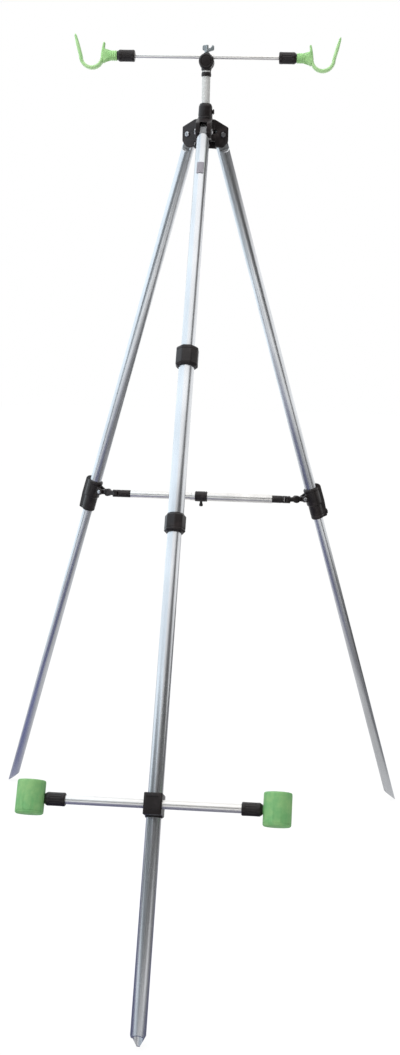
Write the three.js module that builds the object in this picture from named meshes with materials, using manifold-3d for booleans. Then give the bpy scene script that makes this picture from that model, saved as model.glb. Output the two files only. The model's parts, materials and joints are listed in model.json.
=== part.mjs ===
// Surf rod tripod: a hub with three folding legs, a rod rest bar on top and a butt cup bar on the front leg.
// Millimetres, +Z up, front leg towards -Y. The origin is on the ground in the middle of the footprint.
import * as THREE from 'three';
import { mergeVertices } from 'three/addons/utils/BufferGeometryUtils.js';
import Module from 'manifold-3d';

const wasm = await Module();
wasm.setup();

// Clearances and the overrun of every cut
const FIT_GAP = 0.3;
const PIVOT_GAP = 0.5;
const OPEN_PIVOT_GAP = 1.2;
const SLOT_GAP = 0.4;
const THREAD_GAP = 0.15;
const OVERRUN = 5;

// Corners of a geometry closer than this are one corner
const MERGE_TOLERANCE = 1e-4;

// Facets round each kind of round piece
const TUBE_SIDES = 20;
const SMALL_SIDES = 12;
const GRIP_SIDES = 12;
const TWIST_SIDES = 8;
const HEAD_SIDES = 24;
const ROUND_STEPS = 8;

// Stance
const PIVOT_HEIGHT = 1295;
const PIVOT_RADIUS = 28;
const FRONT_SPLAY = THREE.MathUtils.degToRad(28);
const REAR_SPLAY = THREE.MathUtils.degToRad(18.7);
const REAR_TURN = THREE.MathUtils.degToRad(120);

// Leg tubes
const LEG_DIAMETER = 22;
const LEG_WALL = 1.5;
const MID_DIAMETER = 25;
const MID_WALL = 1.2;
const REAR_LOWER_DIAMETER = 18;
const REAR_LOWER_WALL = 1.2;
const TUBE_START = 9;
const TUBE_SHOULDER = 24;
const REAR_TIP_LENGTH = 30;
const FRONT_TIP_LENGTH = 16;
const FRONT_TIP_WIDTH = 4;
const FRONT_ARCH_START = 11;
const TUBE_OVERLAP = 75;
const FRONT_TIP_TURN = 0;
const REAR_TIP_TURN = THREE.MathUtils.degToRad(180);

// Hub
const PLATE_GAP = 12.6;
const PLATE_THICKNESS = 6.8;
const EAR_REACH = 11;
const EAR_TOP = 24;
const EAR_SHOULDER = 13;
const EAR_FLANK = 11;
const EAR_BOTTOM = 21;
const EAR_FOOT_INSET = 9;
const FRONT_EAR_FLANK = 3;
const FRONT_EAR_BOTTOM = 11;
const UNDERCUT_DIAMETER = 38;
const UNDERCUT_DEPTH = 9;
const HUB_ROOF = 15;
const SLOT_ROOT = 3;
const COLLAR_DIAMETER = 26;
const COLLAR_TOP = 50;
const COLLAR_CHAMFER = 3;
const SIDE_HOLE_RADIUS = 13.5;
const SIDE_HOLE_HEIGHT = 4;
const SIDE_HOLE_DIAMETER = 7;

// Leg pivots
const PIVOT_SCREW_DIAMETER = 5;
const PIVOT_HEAD_DIAMETER = 9;
const PIVOT_HEAD_HEIGHT = 2.4;
const PIVOT_HEAD_CHAMFER = 0.6;
const PIVOT_DOME_SHARE = 0.6;
const TONGUE_THICKNESS = 11.6;
const TONGUE_RADIUS = 8.5;
const PLUG_DEPTH = 45;
const ARCH_SHARE = 0.35;

// Centre column
const COLUMN_DIAMETER = 14;
const COLUMN_WALL = 1.5;
const COLUMN_BOTTOM = -14;
const STOP_DIAMETER = 17;
const STOP_HEIGHT = 4;
const STOP_DEPTH = 12;
const LOCK_HEIGHT = 37;
const LOCK_THREAD_DIAMETER = 5;
const LOCK_HEAD_DIAMETER = 9;
const LOCK_HEAD_LENGTH = 4;
const LOCK_HEAD_CHAMFER = 1.2;

// Head: its height is the drum's axis, and the sinks are depths below that axis
const HEAD_HEIGHT = 118;
const HEAD_DIAMETER = 28;
const HEAD_WIDTH = 22;
const HEAD_CHAMFER = 2.5;
const NECK_DIAMETER = 19;
const NECK_LENGTH = 15;
const NECK_CHAMFER = 1.5;
const NECK_SINK = 10;
const HEAD_BORE_SINK = 8;
const COLUMN_SINK = 12;

// Crossbar and its nuts
const CROSSBAR_DIAMETER = 7.5;
const CROSSBAR_RISE = 8;
const CROSSBAR_NUT_START = 124;
const NUT_LENGTH = 30;
const NUT_DIAMETER = 19.5;
const NUT_RIM_CHAMFER = 1;
const NUT_TAPER = 4;
const NUT_END_DIAMETER = 14;
const NUT_BAR_DEPTH = 16;
const NUT_WEB = 2;

// Wing screw
const WING_THREAD_DIAMETER = 5;
const WING_COLLAR_DIAMETER = 8;
const WING_STEM_LENGTH = 4;
const WING_SPAN = 22;
const WING_HEIGHT = 9;
const WING_THICKNESS = 2.5;
const WING_OFFSET = 3.5;
const WING_ROOT = 2;
const WING_SHOULDER_SHARE = 0.8;
const WING_CREST_SHARE = 0.6;
const WING_DIP_SHARE = 0.45;

// Rod rests
const REST_THREAD_DIAMETER = 17;
const REST_THREAD_LENGTH = 14;
const REST_THREAD_PITCH = 3.5;
const REST_THREAD_DEPTH = 0.8;
const REST_SPIGOT_DIAMETER = 12;
const REST_SPIGOT_LENGTH = 9;
const REST_FLARE_LENGTH = 8;
const REST_FLARE_DIAMETER = 25;
const REST_BAND = 6.5;
const REST_DEPTH = 14;
const REST_TIP_BAND = 3.5;
const REST_CURVE_RADIUS = 19;
const REST_BOW_DROP = 1;
const REST_PRONG_RISE = 22;
const REST_PRONG_LEAN = 3;
const REST_ARM_RISE = 35;
const REST_ARM_LEAN = 10;
const REST_CURVE_STEPS = 14;

// Front leg joints
const MID_TOP = 417;
const MID_BOTTOM = 717;
const TWIST_DIAMETER = 36;
const TWIST_LENGTH = 29;
const TWIST_LIP = 5;
const TWIST_CHAMFER = 3;
const UPPER_TWIST_TURN = THREE.MathUtils.degToRad(22.5);
const LOWER_TWIST_TURN = 0;
const BUSH_FLANGE = 7;
const BUSH_DEPTH = 16;
const LABEL_START = 68;
const LABEL_LENGTH = 21;
const LABEL_WIDTH = 12;
const LABEL_THICKNESS = 0.6;

// Lower bar and cups
const CLAMP_STATION = 1136;
const CLAMP_WIDTH = 29.5;
const CLAMP_LENGTH = 35;
const CLAMP_WALL = 4.5;
const CLAMP_CHAMFER = 2;
const CLAMP_WEB = 2;
const LOWER_BAR_DIAMETER = 13;
const LOWER_BAR_WALL = 1.2;
const LOWER_NUT_START = 126;
const LOWER_NUT_DIAMETER = 19.5;
const CLAMP_KNOB_DIAMETER = 16;
const CLAMP_KNOB_LENGTH = 12;
const CUP_DIAMETER = 41;
const CUP_LENGTH = 50;
const CUP_WALL = 3.2;
const CUP_FLOOR = 4.5;
const CUP_ROUND = 2.5;
const CUP_ROUND_SHARE = 0.3;
const CUP_SPIGOT_DIAMETER = 12;
const CUP_SPIGOT_LENGTH = 9;

// Rear leg collars
const TEE_STATION = 690;
const TEE_ABOVE = 30;
const TEE_BELOW = 32;
const TEE_DIAMETER = 25;
const TEE_HEAD_DIAMETER = 29;
const TEE_HEAD_LENGTH = 34;
const TEE_TUBE_STOP = 18;
const TEE_CHAMFER = 2;
const SPINE_WIDTH = 14;
const SPINE_PROUD = 5;
const SPINE_TAPER = 2;
const SPINE_RISE = 8;
const SPINE_ROUND = 4;
const REAR_OVERLAP = 80;
const LUG_REACH = 20.5;
const LUG_RISE = 15;
const LUG_PLATE = 3.6;
const LUG_RADIUS = 6;
const LUG_ROOT = 11;
const KNOB_BELOW = 25;
const KNOB_DIAMETER = 13;
const KNOB_LENGTH = 7;
const KNOB_THREAD_DIAMETER = 5;
const KNOB_CHAMFER = 1.2;
const KNOB_BOSS_DIAMETER = 10;
const LEFT_KNOB_TURN = THREE.MathUtils.degToRad(-60);

// Brace between the rear legs
const LINK_LENGTH = 35;
const LINK_THICKNESS = 8;
const LINK_RADIUS = 5.2;
const LINK_BODY_START = 9;
const LINK_BODY_HALF = 7;
const LINK_BODY_FLAT = 5;
const LINK_KNUCKLE_RADIUS = 5.6;
const LINK_TAPER = 4;
const LINK_PIN_DIAMETER = 4;
const LINK_PIN_HEAD_DIAMETER = 8;
const LINK_PIN_HEAD_HEIGHT = 1.8;
const SWIVEL_PIN_DIAMETER = 3.6;
const PLUG_DIAMETER = 14;
const PLUG_LENGTH = 27;
const PLUG_EYE = 6;
const PLUG_THROAT = 7;
const PLUG_SPIGOT = 12;
const PLUG_CHAMFER = 1;
const BRACE_OUTER_DIAMETER = 16.4;
const BRACE_OUTER_WALL = 1;
const BRACE_INNER_DIAMETER = 13.8;
const BRACE_INNER_WALL = 1;
const BRACE_OVERLAP = 30;
const BRACE_NOSE = 9;
const LOCK_COLLAR_DIAMETER = 20;
const LOCK_COLLAR_LENGTH = 24;
const LOCK_COLLAR_CHAMFER = 1.5;
const BRACE_KNOB_DIAMETER = 7;
const BRACE_KNOB_LENGTH = 5.5;
const BRACE_KNOB_CHAMFER = 1.2;
const BRACE_NECK_LENGTH = 3;
const BRACE_NECK_DIAMETER = 5;
const BRACE_THREAD_DIAMETER = 4;

// Finishes seen on the photographed object
const FINISHES = {
  silver: { color: 0xc4c6c8, roughness: 0.34, metalness: 1 },
  steel: { color: 0xb4b4b2, roughness: 0.3, metalness: 1 },
  black: { color: 0x1b1a1c, roughness: 0.45, metalness: 0 },
  grey: { color: 0x7c7f80, roughness: 0.55, metalness: 0 },
  pale: { color: 0xa0dd8d, roughness: 0.35, metalness: 0 },
  green: { color: 0x6fc56a, roughness: 0.5, metalness: 0 },
};

// A closed three.js geometry becomes a solid whose faces point out.
function solid(geometry) {
  const bare = geometry.clone();
  bare.deleteAttribute('normal');
  bare.deleteAttribute('uv');
  const merged = mergeVertices(bare, MERGE_TOLERANCE);
  const position = merged.getAttribute('position');
  const corner = (index) => new THREE.Vector3().fromBufferAttribute(position, index);
  const triangles = [];
  let volume = 0;
  for (let at = 0; at < merged.index.count; at += 3) {
    const [a, b, c] = [0, 1, 2].map((step) => merged.index.getX(at + step));
    if (a === b || b === c || c === a) continue;
    triangles.push([a, b, c]);
    volume += corner(a).dot(corner(b).cross(corner(c)));
  }
  const facing = volume < 0 ? triangles.map(([a, b, c]) => [a, c, b]) : triangles;
  return new wasm.Manifold(new wasm.Mesh({
    numProp: 3,
    vertProperties: new Float32Array(position.array),
    triVerts: new Uint32Array(facing.flat()),
  }));
}

function join(first, ...others) {
  return others.reduce((sum, other) => sum.add(other), first);
}

function cut(body, ...tools) {
  return tools.reduce((rest, tool) => rest.subtract(tool), body);
}

function meshOf(name, finish, body) {
  const { vertProperties, triVerts } = body.getMesh();
  const geometry = new THREE.BufferGeometry();
  geometry.setAttribute('position', new THREE.BufferAttribute(new Float32Array(vertProperties), 3));
  geometry.setIndex(new THREE.BufferAttribute(new Uint32Array(triVerts), 1));
  geometry.computeVertexNormals();
  const mesh = new THREE.Mesh(geometry, new THREE.MeshStandardMaterial(FINISHES[finish]));
  mesh.name = name;
  return mesh;
}

// A solid of revolution about Z from [radius, height] points, on the axis or closed on itself.
function turned(profile, sides = TUBE_SIDES) {
  const points = profile.map(([radius, height]) => new THREE.Vector2(radius, height));
  return new THREE.LatheGeometry(points, sides).rotateX(Math.PI / 2);
}

function rodBetween(radius, low, high, sides = TUBE_SIDES) {
  return turned([[0, low], [radius, low], [radius, high], [0, high]], sides);
}

function tubeBetween(outer, inner, low, high, sides = TUBE_SIDES) {
  return turned([[inner, low], [outer, low], [outer, high], [inner, high], [inner, low]], sides);
}

// A rod with both rims chamfered.
function chamferedRod(radius, low, high, chamfer, sides = TUBE_SIDES) {
  return turned([
    [0, low], [radius - chamfer, low], [radius, low + chamfer],
    [radius, high - chamfer], [radius - chamfer, high], [0, high],
  ], sides);
}

function boxBetween(low, high) {
  const size = high.map((value, axis) => value - low[axis]);
  const middle = high.map((value, axis) => (value + low[axis]) / 2);
  return new THREE.BoxGeometry(...size).translate(...middle);
}

// An outline of [x, y] points pushed along Z between two heights.
function slab(outline, low, high) {
  const shape = new THREE.Shape(outline.map(([x, y]) => new THREE.Vector2(x, y)));
  return new THREE.ExtrudeGeometry(shape, { depth: high - low, bevelEnabled: false, steps: 1 })
    .translate(0, 0, low);
}

// The same outline standing up: its points are [y, z] and it spans x.
function standingSlab(outline, low, high) {
  return slab(outline, low, high).rotateX(Math.PI / 2).rotateZ(Math.PI / 2);
}

// The outline's points are [x, z] and it spans y.
function facingSlab(outline, low, high) {
  return slab(outline, -high, -low).rotateX(Math.PI / 2);
}

const alongX = (geometry) => geometry.rotateY(Math.PI / 2);
const alongY = (geometry) => geometry.rotateX(-Math.PI / 2);

function roundEnd(centreX, centreY, radius, from, to, steps) {
  return Array.from({ length: steps + 1 }, (_, step) => {
    const angle = from + ((to - from) * step) / steps;
    return [centreX + radius * Math.cos(angle), centreY + radius * Math.sin(angle)];
  });
}

// Where a leg's frame stands: its origin is the pivot, -Z runs down the leg and -Y is its outer side.
function legFrame(turn, splay) {
  const swing = new THREE.Group();
  swing.rotation.z = turn;
  const leg = new THREE.Group();
  leg.position.y = -PIVOT_RADIUS;
  leg.rotation.x = -splay;
  swing.add(leg);
  return { swing, leg };
}

const plateOuter = PLATE_GAP / 2 + PLATE_THICKNESS;
const legRadius = LEG_DIAMETER / 2;
const legBore = legRadius - LEG_WALL;
const columnRadius = COLUMN_DIAMETER / 2;
const pivotScrewRadius = PIVOT_SCREW_DIAMETER / 2;
const crossbarHeight = HEAD_HEIGHT + CROSSBAR_RISE;

// Hub: three arms of paired ear plates under a collar that guides the column. The front ears stop above
// the front tube's arched end.
function hubSpider() {
  const reach = PIVOT_RADIUS + EAR_REACH;
  const ears = (turn, flank, bottom) => solid(standingSlab([
    [0, -bottom], [-(reach - EAR_FOOT_INSET), -bottom], [-reach, -flank],
    [-reach, EAR_SHOULDER], [-COLLAR_DIAMETER / 2, EAR_TOP], [0, EAR_TOP],
  ], -plateOuter, plateOuter).rotateZ(turn));
  const armTurns = [0, -REAR_TURN, REAR_TURN];
  const rearArms = armTurns.slice(1).map((turn) => ears(turn, EAR_FLANK, EAR_BOTTOM));
  const arms = [ears(0, FRONT_EAR_FLANK, FRONT_EAR_BOTTOM), ...rearArms];
  const collar = solid(turned([
    [0, HUB_ROOF], [COLLAR_DIAMETER / 2, HUB_ROOF], [COLLAR_DIAMETER / 2, COLLAR_TOP - COLLAR_CHAMFER],
    [COLLAR_DIAMETER / 2 - COLLAR_CHAMFER, COLLAR_TOP], [0, COLLAR_TOP],
  ]));
  const slots = armTurns.map((turn) => solid(boxBetween(
    [-PLATE_GAP / 2, -(reach + OVERRUN), -(EAR_BOTTOM + OVERRUN)],
    [PLATE_GAP / 2, -SLOT_ROOT, HUB_ROOF],
  ).rotateZ(turn)));
  const bore = solid(rodBetween(columnRadius + FIT_GAP, -(EAR_BOTTOM + OVERRUN), COLLAR_TOP + OVERRUN));
  const stopRoom = solid(rodBetween(STOP_DIAMETER / 2 + PIVOT_GAP, -(EAR_BOTTOM + OVERRUN), HUB_ROOF));
  const undercut = solid(rodBetween(
    UNDERCUT_DIAMETER / 2, -(EAR_BOTTOM + OVERRUN), UNDERCUT_DEPTH - EAR_BOTTOM,
  ));
  const across = plateOuter + OVERRUN;
  const pivotHoles = armTurns.map((turn) => solid(alongX(
    rodBetween(pivotScrewRadius + FIT_GAP, -across, across, SMALL_SIDES),
  ).translate(0, -PIVOT_RADIUS, 0).rotateZ(turn)));
  const sideHoles = armTurns.slice(1).map((turn) => solid(alongX(
    rodBetween(SIDE_HOLE_DIAMETER / 2, -across, across, SMALL_SIDES),
  ).translate(0, -SIDE_HOLE_RADIUS, SIDE_HOLE_HEIGHT).rotateZ(turn)));
  const lockHole = solid(alongX(
    rodBetween(LOCK_THREAD_DIAMETER / 2 + THREAD_GAP, 0, COLLAR_DIAMETER, SMALL_SIDES),
  ).translate(0, 0, LOCK_HEIGHT));
  return meshOf('hub_spider', 'black', cut(
    join(collar, ...arms), ...slots, bore, stopRoom, undercut, ...pivotHoles, ...sideHoles, lockHole,
  ));
}

// One screw through each pair of ears, with a domed head and a nut outside the plates
function pivotScrew(word, turn) {
  const face = plateOuter + FIT_GAP;
  const head = face + PIVOT_HEAD_HEIGHT;
  const rim = PIVOT_HEAD_DIAMETER / 2;
  const profile = [
    [0, -head], [rim, -head], [rim, -face], [pivotScrewRadius, -face],
    [pivotScrewRadius, face], [rim, face], [rim, head - PIVOT_HEAD_CHAMFER],
    [rim * PIVOT_DOME_SHARE, head], [0, head],
  ];
  const screw = alongX(turned(profile, SMALL_SIDES)).translate(0, -PIVOT_RADIUS, 0).rotateZ(turn);
  return meshOf(`${word}_pivot_screw`, 'steel', solid(screw));
}

function columnLockScrew() {
  const seat = COLLAR_DIAMETER / 2 + FIT_GAP;
  const tip = columnRadius + FIT_GAP;
  const rim = LOCK_HEAD_DIAMETER / 2;
  const thread = LOCK_THREAD_DIAMETER / 2;
  const end = seat + LOCK_HEAD_LENGTH;
  const screw = turned([
    [0, tip], [thread, tip], [thread, seat], [rim, seat],
    [rim, end - LOCK_HEAD_CHAMFER], [rim - LOCK_HEAD_CHAMFER, end], [0, end],
  ], SMALL_SIDES);
  return meshOf('column_lock_screw', 'black', solid(alongX(screw).translate(0, 0, LOCK_HEIGHT)));
}

function column() {
  const bore = columnRadius - COLUMN_WALL;
  const columnTop = HEAD_HEIGHT - COLUMN_SINK;
  const plugTop = COLUMN_BOTTOM + STOP_DEPTH;
  const stopFace = COLUMN_BOTTOM - FIT_GAP;
  const stopEnd = stopFace - STOP_HEIGHT;
  const stopRadius = STOP_DIAMETER / 2;
  return [
    meshOf('centre_column', 'silver', solid(tubeBetween(columnRadius, bore, COLUMN_BOTTOM, columnTop))),
    meshOf('column_stop_plug', 'black', solid(turned([
      [0, stopEnd], [stopRadius, stopEnd], [stopRadius, stopFace],
      [bore - FIT_GAP, stopFace], [bore - FIT_GAP, plugTop], [0, plugTop],
    ]))),
  ];
}

// Head: a short drum lying across the neck, bored for the column below and for the crossbar near its top
function headClamp() {
  const drum = solid(alongY(
    chamferedRod(HEAD_DIAMETER / 2, -HEAD_WIDTH / 2, HEAD_WIDTH / 2, HEAD_CHAMFER, HEAD_SIDES),
  ).translate(0, 0, HEAD_HEIGHT));
  const neckTop = HEAD_HEIGHT - NECK_SINK;
  const neckBottom = neckTop - NECK_LENGTH;
  const neck = solid(chamferedRod(NECK_DIAMETER / 2, neckBottom, neckTop, NECK_CHAMFER));
  const columnBore = solid(rodBetween(
    columnRadius + FIT_GAP, neckBottom - OVERRUN, HEAD_HEIGHT - HEAD_BORE_SINK,
  ));
  const barBore = solid(alongX(rodBetween(
    CROSSBAR_DIAMETER / 2 + FIT_GAP, -HEAD_DIAMETER, HEAD_DIAMETER, SMALL_SIDES,
  )).translate(0, 0, crossbarHeight));
  const screwBore = solid(rodBetween(
    WING_THREAD_DIAMETER / 2 + THREAD_GAP, crossbarHeight, HEAD_HEIGHT + HEAD_DIAMETER, SMALL_SIDES,
  ));
  return meshOf('head_clamp', 'black', cut(join(drum, neck), columnBore, barBore, screwBore));
}

// Wing screw: its thread stops on the crossbar and its collar on the drum; the blade stands to one side
function wingScrew() {
  const tip = crossbarHeight + CROSSBAR_DIAMETER / 2 + FIT_GAP;
  const seat = HEAD_HEIGHT + HEAD_DIAMETER / 2 + FIT_GAP;
  const top = seat + WING_STEM_LENGTH;
  const thread = WING_THREAD_DIAMETER / 2;
  const stem = solid(turned([
    [0, tip], [thread, tip], [thread, seat], [WING_COLLAR_DIAMETER / 2, seat],
    [WING_COLLAR_DIAMETER / 2, top], [thread, top + WING_HEIGHT], [0, top + WING_HEIGHT],
  ], SMALL_SIDES));
  const half = WING_SPAN / 2;
  const crest = half * WING_CREST_SHARE;
  const shoulder = top + WING_HEIGHT * WING_SHOULDER_SHARE;
  const blade = solid(facingSlab([
    [WING_OFFSET - half, top], [WING_OFFSET, top - WING_ROOT], [WING_OFFSET + half, top],
    [WING_OFFSET + half, shoulder], [WING_OFFSET + crest, top + WING_HEIGHT],
    [WING_OFFSET, top + WING_HEIGHT * WING_DIP_SHARE], [WING_OFFSET - crest, top + WING_HEIGHT],
    [WING_OFFSET - half, shoulder],
  ], -WING_THICKNESS / 2, WING_THICKNESS / 2));
  return meshOf('head_wing_screw', 'steel', join(stem, blade));
}

// A bar end nut along X from its start, bored for the bar inside and for a spigot outside
function barNut(name, side, start, diameter, barRadius, spigotRadius, height) {
  const end = start + NUT_LENGTH;
  const rim = diameter / 2;
  const shell = solid(turned([
    [0, start], [rim - NUT_RIM_CHAMFER, start], [rim, start + NUT_RIM_CHAMFER],
    [rim, end - NUT_TAPER], [NUT_END_DIAMETER / 2, end], [0, end],
  ]));
  const barEnd = start + NUT_BAR_DEPTH;
  const barBore = solid(rodBetween(barRadius + FIT_GAP, start - OVERRUN, barEnd));
  const spigotBore = solid(rodBetween(spigotRadius + FIT_GAP, barEnd + NUT_WEB, end + OVERRUN));
  const mesh = meshOf(name, 'black', cut(shell, barBore, spigotBore));
  mesh.rotation.y = (side * Math.PI) / 2;
  mesh.position.z = height;
  return mesh;
}

// Centre line of the U from the inner prong's tip, round the bow and up the outer arm, in [outward, up]
function restCurve() {
  const inner = REST_BAND / 2 + REST_FLARE_LENGTH / 2;
  const bow = inner + REST_CURVE_RADIUS;
  const prongTip = [inner - REST_PRONG_LEAN, REST_PRONG_RISE];
  const armTip = [bow + REST_CURVE_RADIUS + REST_ARM_LEAN, REST_ARM_RISE];
  const curve = roundEnd(bow, -REST_BOW_DROP, REST_CURVE_RADIUS, Math.PI, Math.PI * 2, REST_CURVE_STEPS);
  return [prongTip, ...curve, armTip];
}

// A band of even width round a centre line, drawn in to a blunt tip at both ends
function bandOutline(line, band, tipBand) {
  const left = [];
  const right = [];
  line.forEach(([x, y], at) => {
    const before = line[Math.max(at - 1, 0)];
    const after = line[Math.min(at + 1, line.length - 1)];
    const run = Math.hypot(after[0] - before[0], after[1] - before[1]);
    const normal = [-(after[1] - before[1]) / run, (after[0] - before[0]) / run];
    const half = (at === 0 || at === line.length - 1 ? tipBand : band) / 2;
    left.push([x + normal[0] * half, y + normal[1] * half]);
    right.push([x - normal[0] * half, y - normal[1] * half]);
  });
  return [...left, ...right.reverse()];
}

// Rod rest: spigot, threaded boss and flare on the bar's axis, and the U standing on the flare
function rodRest(name, side) {
  const root = CROSSBAR_NUT_START + NUT_LENGTH + FIT_GAP;
  const rim = REST_THREAD_DIAMETER / 2;
  const turns = Math.round(REST_THREAD_LENGTH / REST_THREAD_PITCH);
  const pitch = REST_THREAD_LENGTH / turns;
  const threads = Array.from({ length: turns }, (_, turn) => {
    const start = root + turn * pitch;
    return [[rim - REST_THREAD_DEPTH, start], [rim, start + pitch / 2]];
  }).flat();
  const bossEnd = root + REST_THREAD_LENGTH;
  const boss = solid(turned([
    [0, root - REST_SPIGOT_LENGTH], [REST_SPIGOT_DIAMETER / 2, root - REST_SPIGOT_LENGTH],
    [REST_SPIGOT_DIAMETER / 2, root], ...threads, [rim - REST_THREAD_DEPTH, bossEnd],
    [REST_FLARE_DIAMETER / 2, bossEnd + REST_FLARE_LENGTH], [0, bossEnd + REST_FLARE_LENGTH],
  ]));
  const flareTrim = solid(boxBetween(
    [-REST_FLARE_DIAMETER, -REST_DEPTH / 2, root - REST_THREAD_LENGTH],
    [REST_FLARE_DIAMETER, REST_DEPTH / 2, bossEnd + REST_FLARE_LENGTH + OVERRUN],
  ));
  const barrel = solid(rodBetween(rim + REST_THREAD_DEPTH, root - REST_THREAD_LENGTH, bossEnd));
  const turnedPart = boss.intersect(join(flareTrim, barrel));
  const band = solid(facingSlab(
    bandOutline(restCurve(), REST_BAND, REST_TIP_BAND), -REST_DEPTH / 2, REST_DEPTH / 2,
  ).rotateY(-Math.PI / 2).translate(0, 0, bossEnd + REST_FLARE_LENGTH / 2));
  const mesh = meshOf(name, 'pale', join(turnedPart, band));
  mesh.rotation.set(0, Math.PI / 2, 0);
  const holder = new THREE.Group();
  holder.add(mesh);
  holder.rotation.z = side > 0 ? 0 : Math.PI;
  holder.position.z = crossbarHeight;
  return holder;
}

function topBar() {
  const parts = new THREE.Group();
  const reach = CROSSBAR_NUT_START + NUT_BAR_DEPTH - FIT_GAP;
  const bar = meshOf('top_crossbar', 'silver', solid(alongX(
    rodBetween(CROSSBAR_DIAMETER / 2, -reach, reach, SMALL_SIDES),
  )));
  bar.position.z = crossbarHeight;
  parts.add(bar);
  for (const [word, side] of [['left', -1], ['right', 1]]) {
    parts.add(barNut(
      `top_nut_${word}`, side, CROSSBAR_NUT_START, NUT_DIAMETER,
      CROSSBAR_DIAMETER / 2, REST_SPIGOT_DIAMETER / 2, crossbarHeight,
    ));
    parts.add(rodRest(`rod_rest_${word}`, side));
  }
  return parts;
}

// Plug in the leg's top end, with a tongue that turns on the pivot screw between the ears
function legPlug(name) {
  const side = TONGUE_THICKNESS / 2;
  const spigotRadius = legBore - FIT_GAP;
  const tongue = solid(standingSlab([
    ...roundEnd(0, 0, TONGUE_RADIUS, 0, Math.PI, ROUND_STEPS),
    [-TONGUE_RADIUS, -TUBE_SHOULDER], [TONGUE_RADIUS, -TUBE_SHOULDER],
  ], -side, side));
  const inTube = solid(rodBetween(spigotRadius, -PLUG_DEPTH, -TUBE_START + FIT_GAP));
  const aboveTube = solid(boxBetween(
    [-side, -TONGUE_RADIUS - OVERRUN, -TUBE_START], [side, TONGUE_RADIUS + OVERRUN, TONGUE_RADIUS + OVERRUN],
  ));
  const lowerRod = solid(rodBetween(spigotRadius, -PLUG_DEPTH, -TUBE_SHOULDER));
  const hole = solid(alongX(rodBetween(
    pivotScrewRadius + PIVOT_GAP, -legRadius - OVERRUN, legRadius + OVERRUN, SMALL_SIDES,
  )));
  return meshOf(name, 'grey', cut(join(tongue.intersect(join(inTube, aboveTube)), lowerRod), hole));
}

// The front leg's top tube: its end is an arch as wide as the tube, in front of the ears
function frontUpperTube(name, end) {
  const pipe = solid(tubeBetween(legRadius, legBore, -end, -FRONT_ARCH_START));
  const far = legRadius + OVERRUN;
  const shoulder = -FRONT_ARCH_START - legRadius;
  const top = -FRONT_ARCH_START + OVERRUN;
  const aboveArch = solid(facingSlab([
    ...roundEnd(0, shoulder, legRadius, 0, Math.PI, ROUND_STEPS),
    [-far, shoulder], [-far, top], [far, top], [far, shoulder],
  ], -far, far));
  return meshOf(name, 'silver', cut(pipe, aboveArch));
}

// A rear leg's top tube: its end is narrowed to an arch that stands between the ear plates
function rearUpperTube(name, end) {
  const pipe = solid(tubeBetween(legRadius, legBore, -end, -TUBE_START));
  const side = TONGUE_THICKNESS / 2;
  const far = legRadius + OVERRUN;
  const arch = side * ARCH_SHARE;
  const cheek = (sign) => solid(facingSlab([
    [sign * arch, -TUBE_START + OVERRUN], [sign * arch, -TUBE_START],
    [sign * side, -TUBE_START - side], [sign * side, -TUBE_SHOULDER],
    [sign * far, -TUBE_SHOULDER - far + side], [sign * far, -TUBE_START + OVERRUN],
  ], -far, far));
  return meshOf(name, 'silver', cut(pipe, cheek(1), cheek(-1)));
}

// The station along the leg at which a slant-cut tube's tip meets the ground.
// tipTurn is the angle from the leg's inner side to the tip.
function groundStation(radius, splay, tipTurn) {
  return (PIVOT_HEIGHT - radius * Math.cos(tipTurn) * Math.sin(splay)) / Math.cos(splay);
}

// The lowest tube, cut on a slant, and drawn in from both sides where the tip is narrower than the tube
function footTube(name, { radius, wall, start, splay, tipTurn, tipLength, tipWidth }) {
  const tip = groundStation(radius, splay, tipTurn);
  const slope = tipLength / (radius * 2);
  const far = radius + OVERRUN;
  const pipe = solid(tubeBetween(radius, radius - wall, -tip, -start));
  const slant = solid(standingSlab([
    [far, -tip - OVERRUN * slope], [-far, -tip + (radius + far) * slope],
    [-far, -tip - tipLength], [far, -tip - tipLength],
  ], -far, far).rotateZ(tipTurn));
  const flanks = tipWidth < radius ? [1, -1].map((sign) => solid(facingSlab([
    [(sign * tipWidth) / 2, -tip], [sign * radius, -tip + tipLength], [sign * far, -tip + tipLength],
    [sign * far, -tip - OVERRUN], [(sign * tipWidth) / 2, -tip - OVERRUN],
  ], -far, far).rotateZ(tipTurn))) : [];
  return meshOf(name, 'silver', cut(pipe, slant, ...flanks));
}

// Guide bush in a tube's end: a spigot in the tube and a flange that runs in the next tube's bore.
// towards is 1 when the spigot points up the leg and -1 when it points down.
function guideBush(name, end, tubeBore, runningBore, towards) {
  const flange = runningBore - FIT_GAP;
  const face = FIT_GAP;
  const mesh = meshOf(name, 'black', solid(turned([
    [0, -BUSH_FLANGE], [flange, -BUSH_FLANGE], [flange, -face], [tubeBore - FIT_GAP, -face],
    [tubeBore - FIT_GAP, BUSH_DEPTH], [0, BUSH_DEPTH],
  ])));
  if (towards < 0) mesh.rotation.x = Math.PI;
  mesh.position.z = -end;
  return mesh;
}

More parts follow.
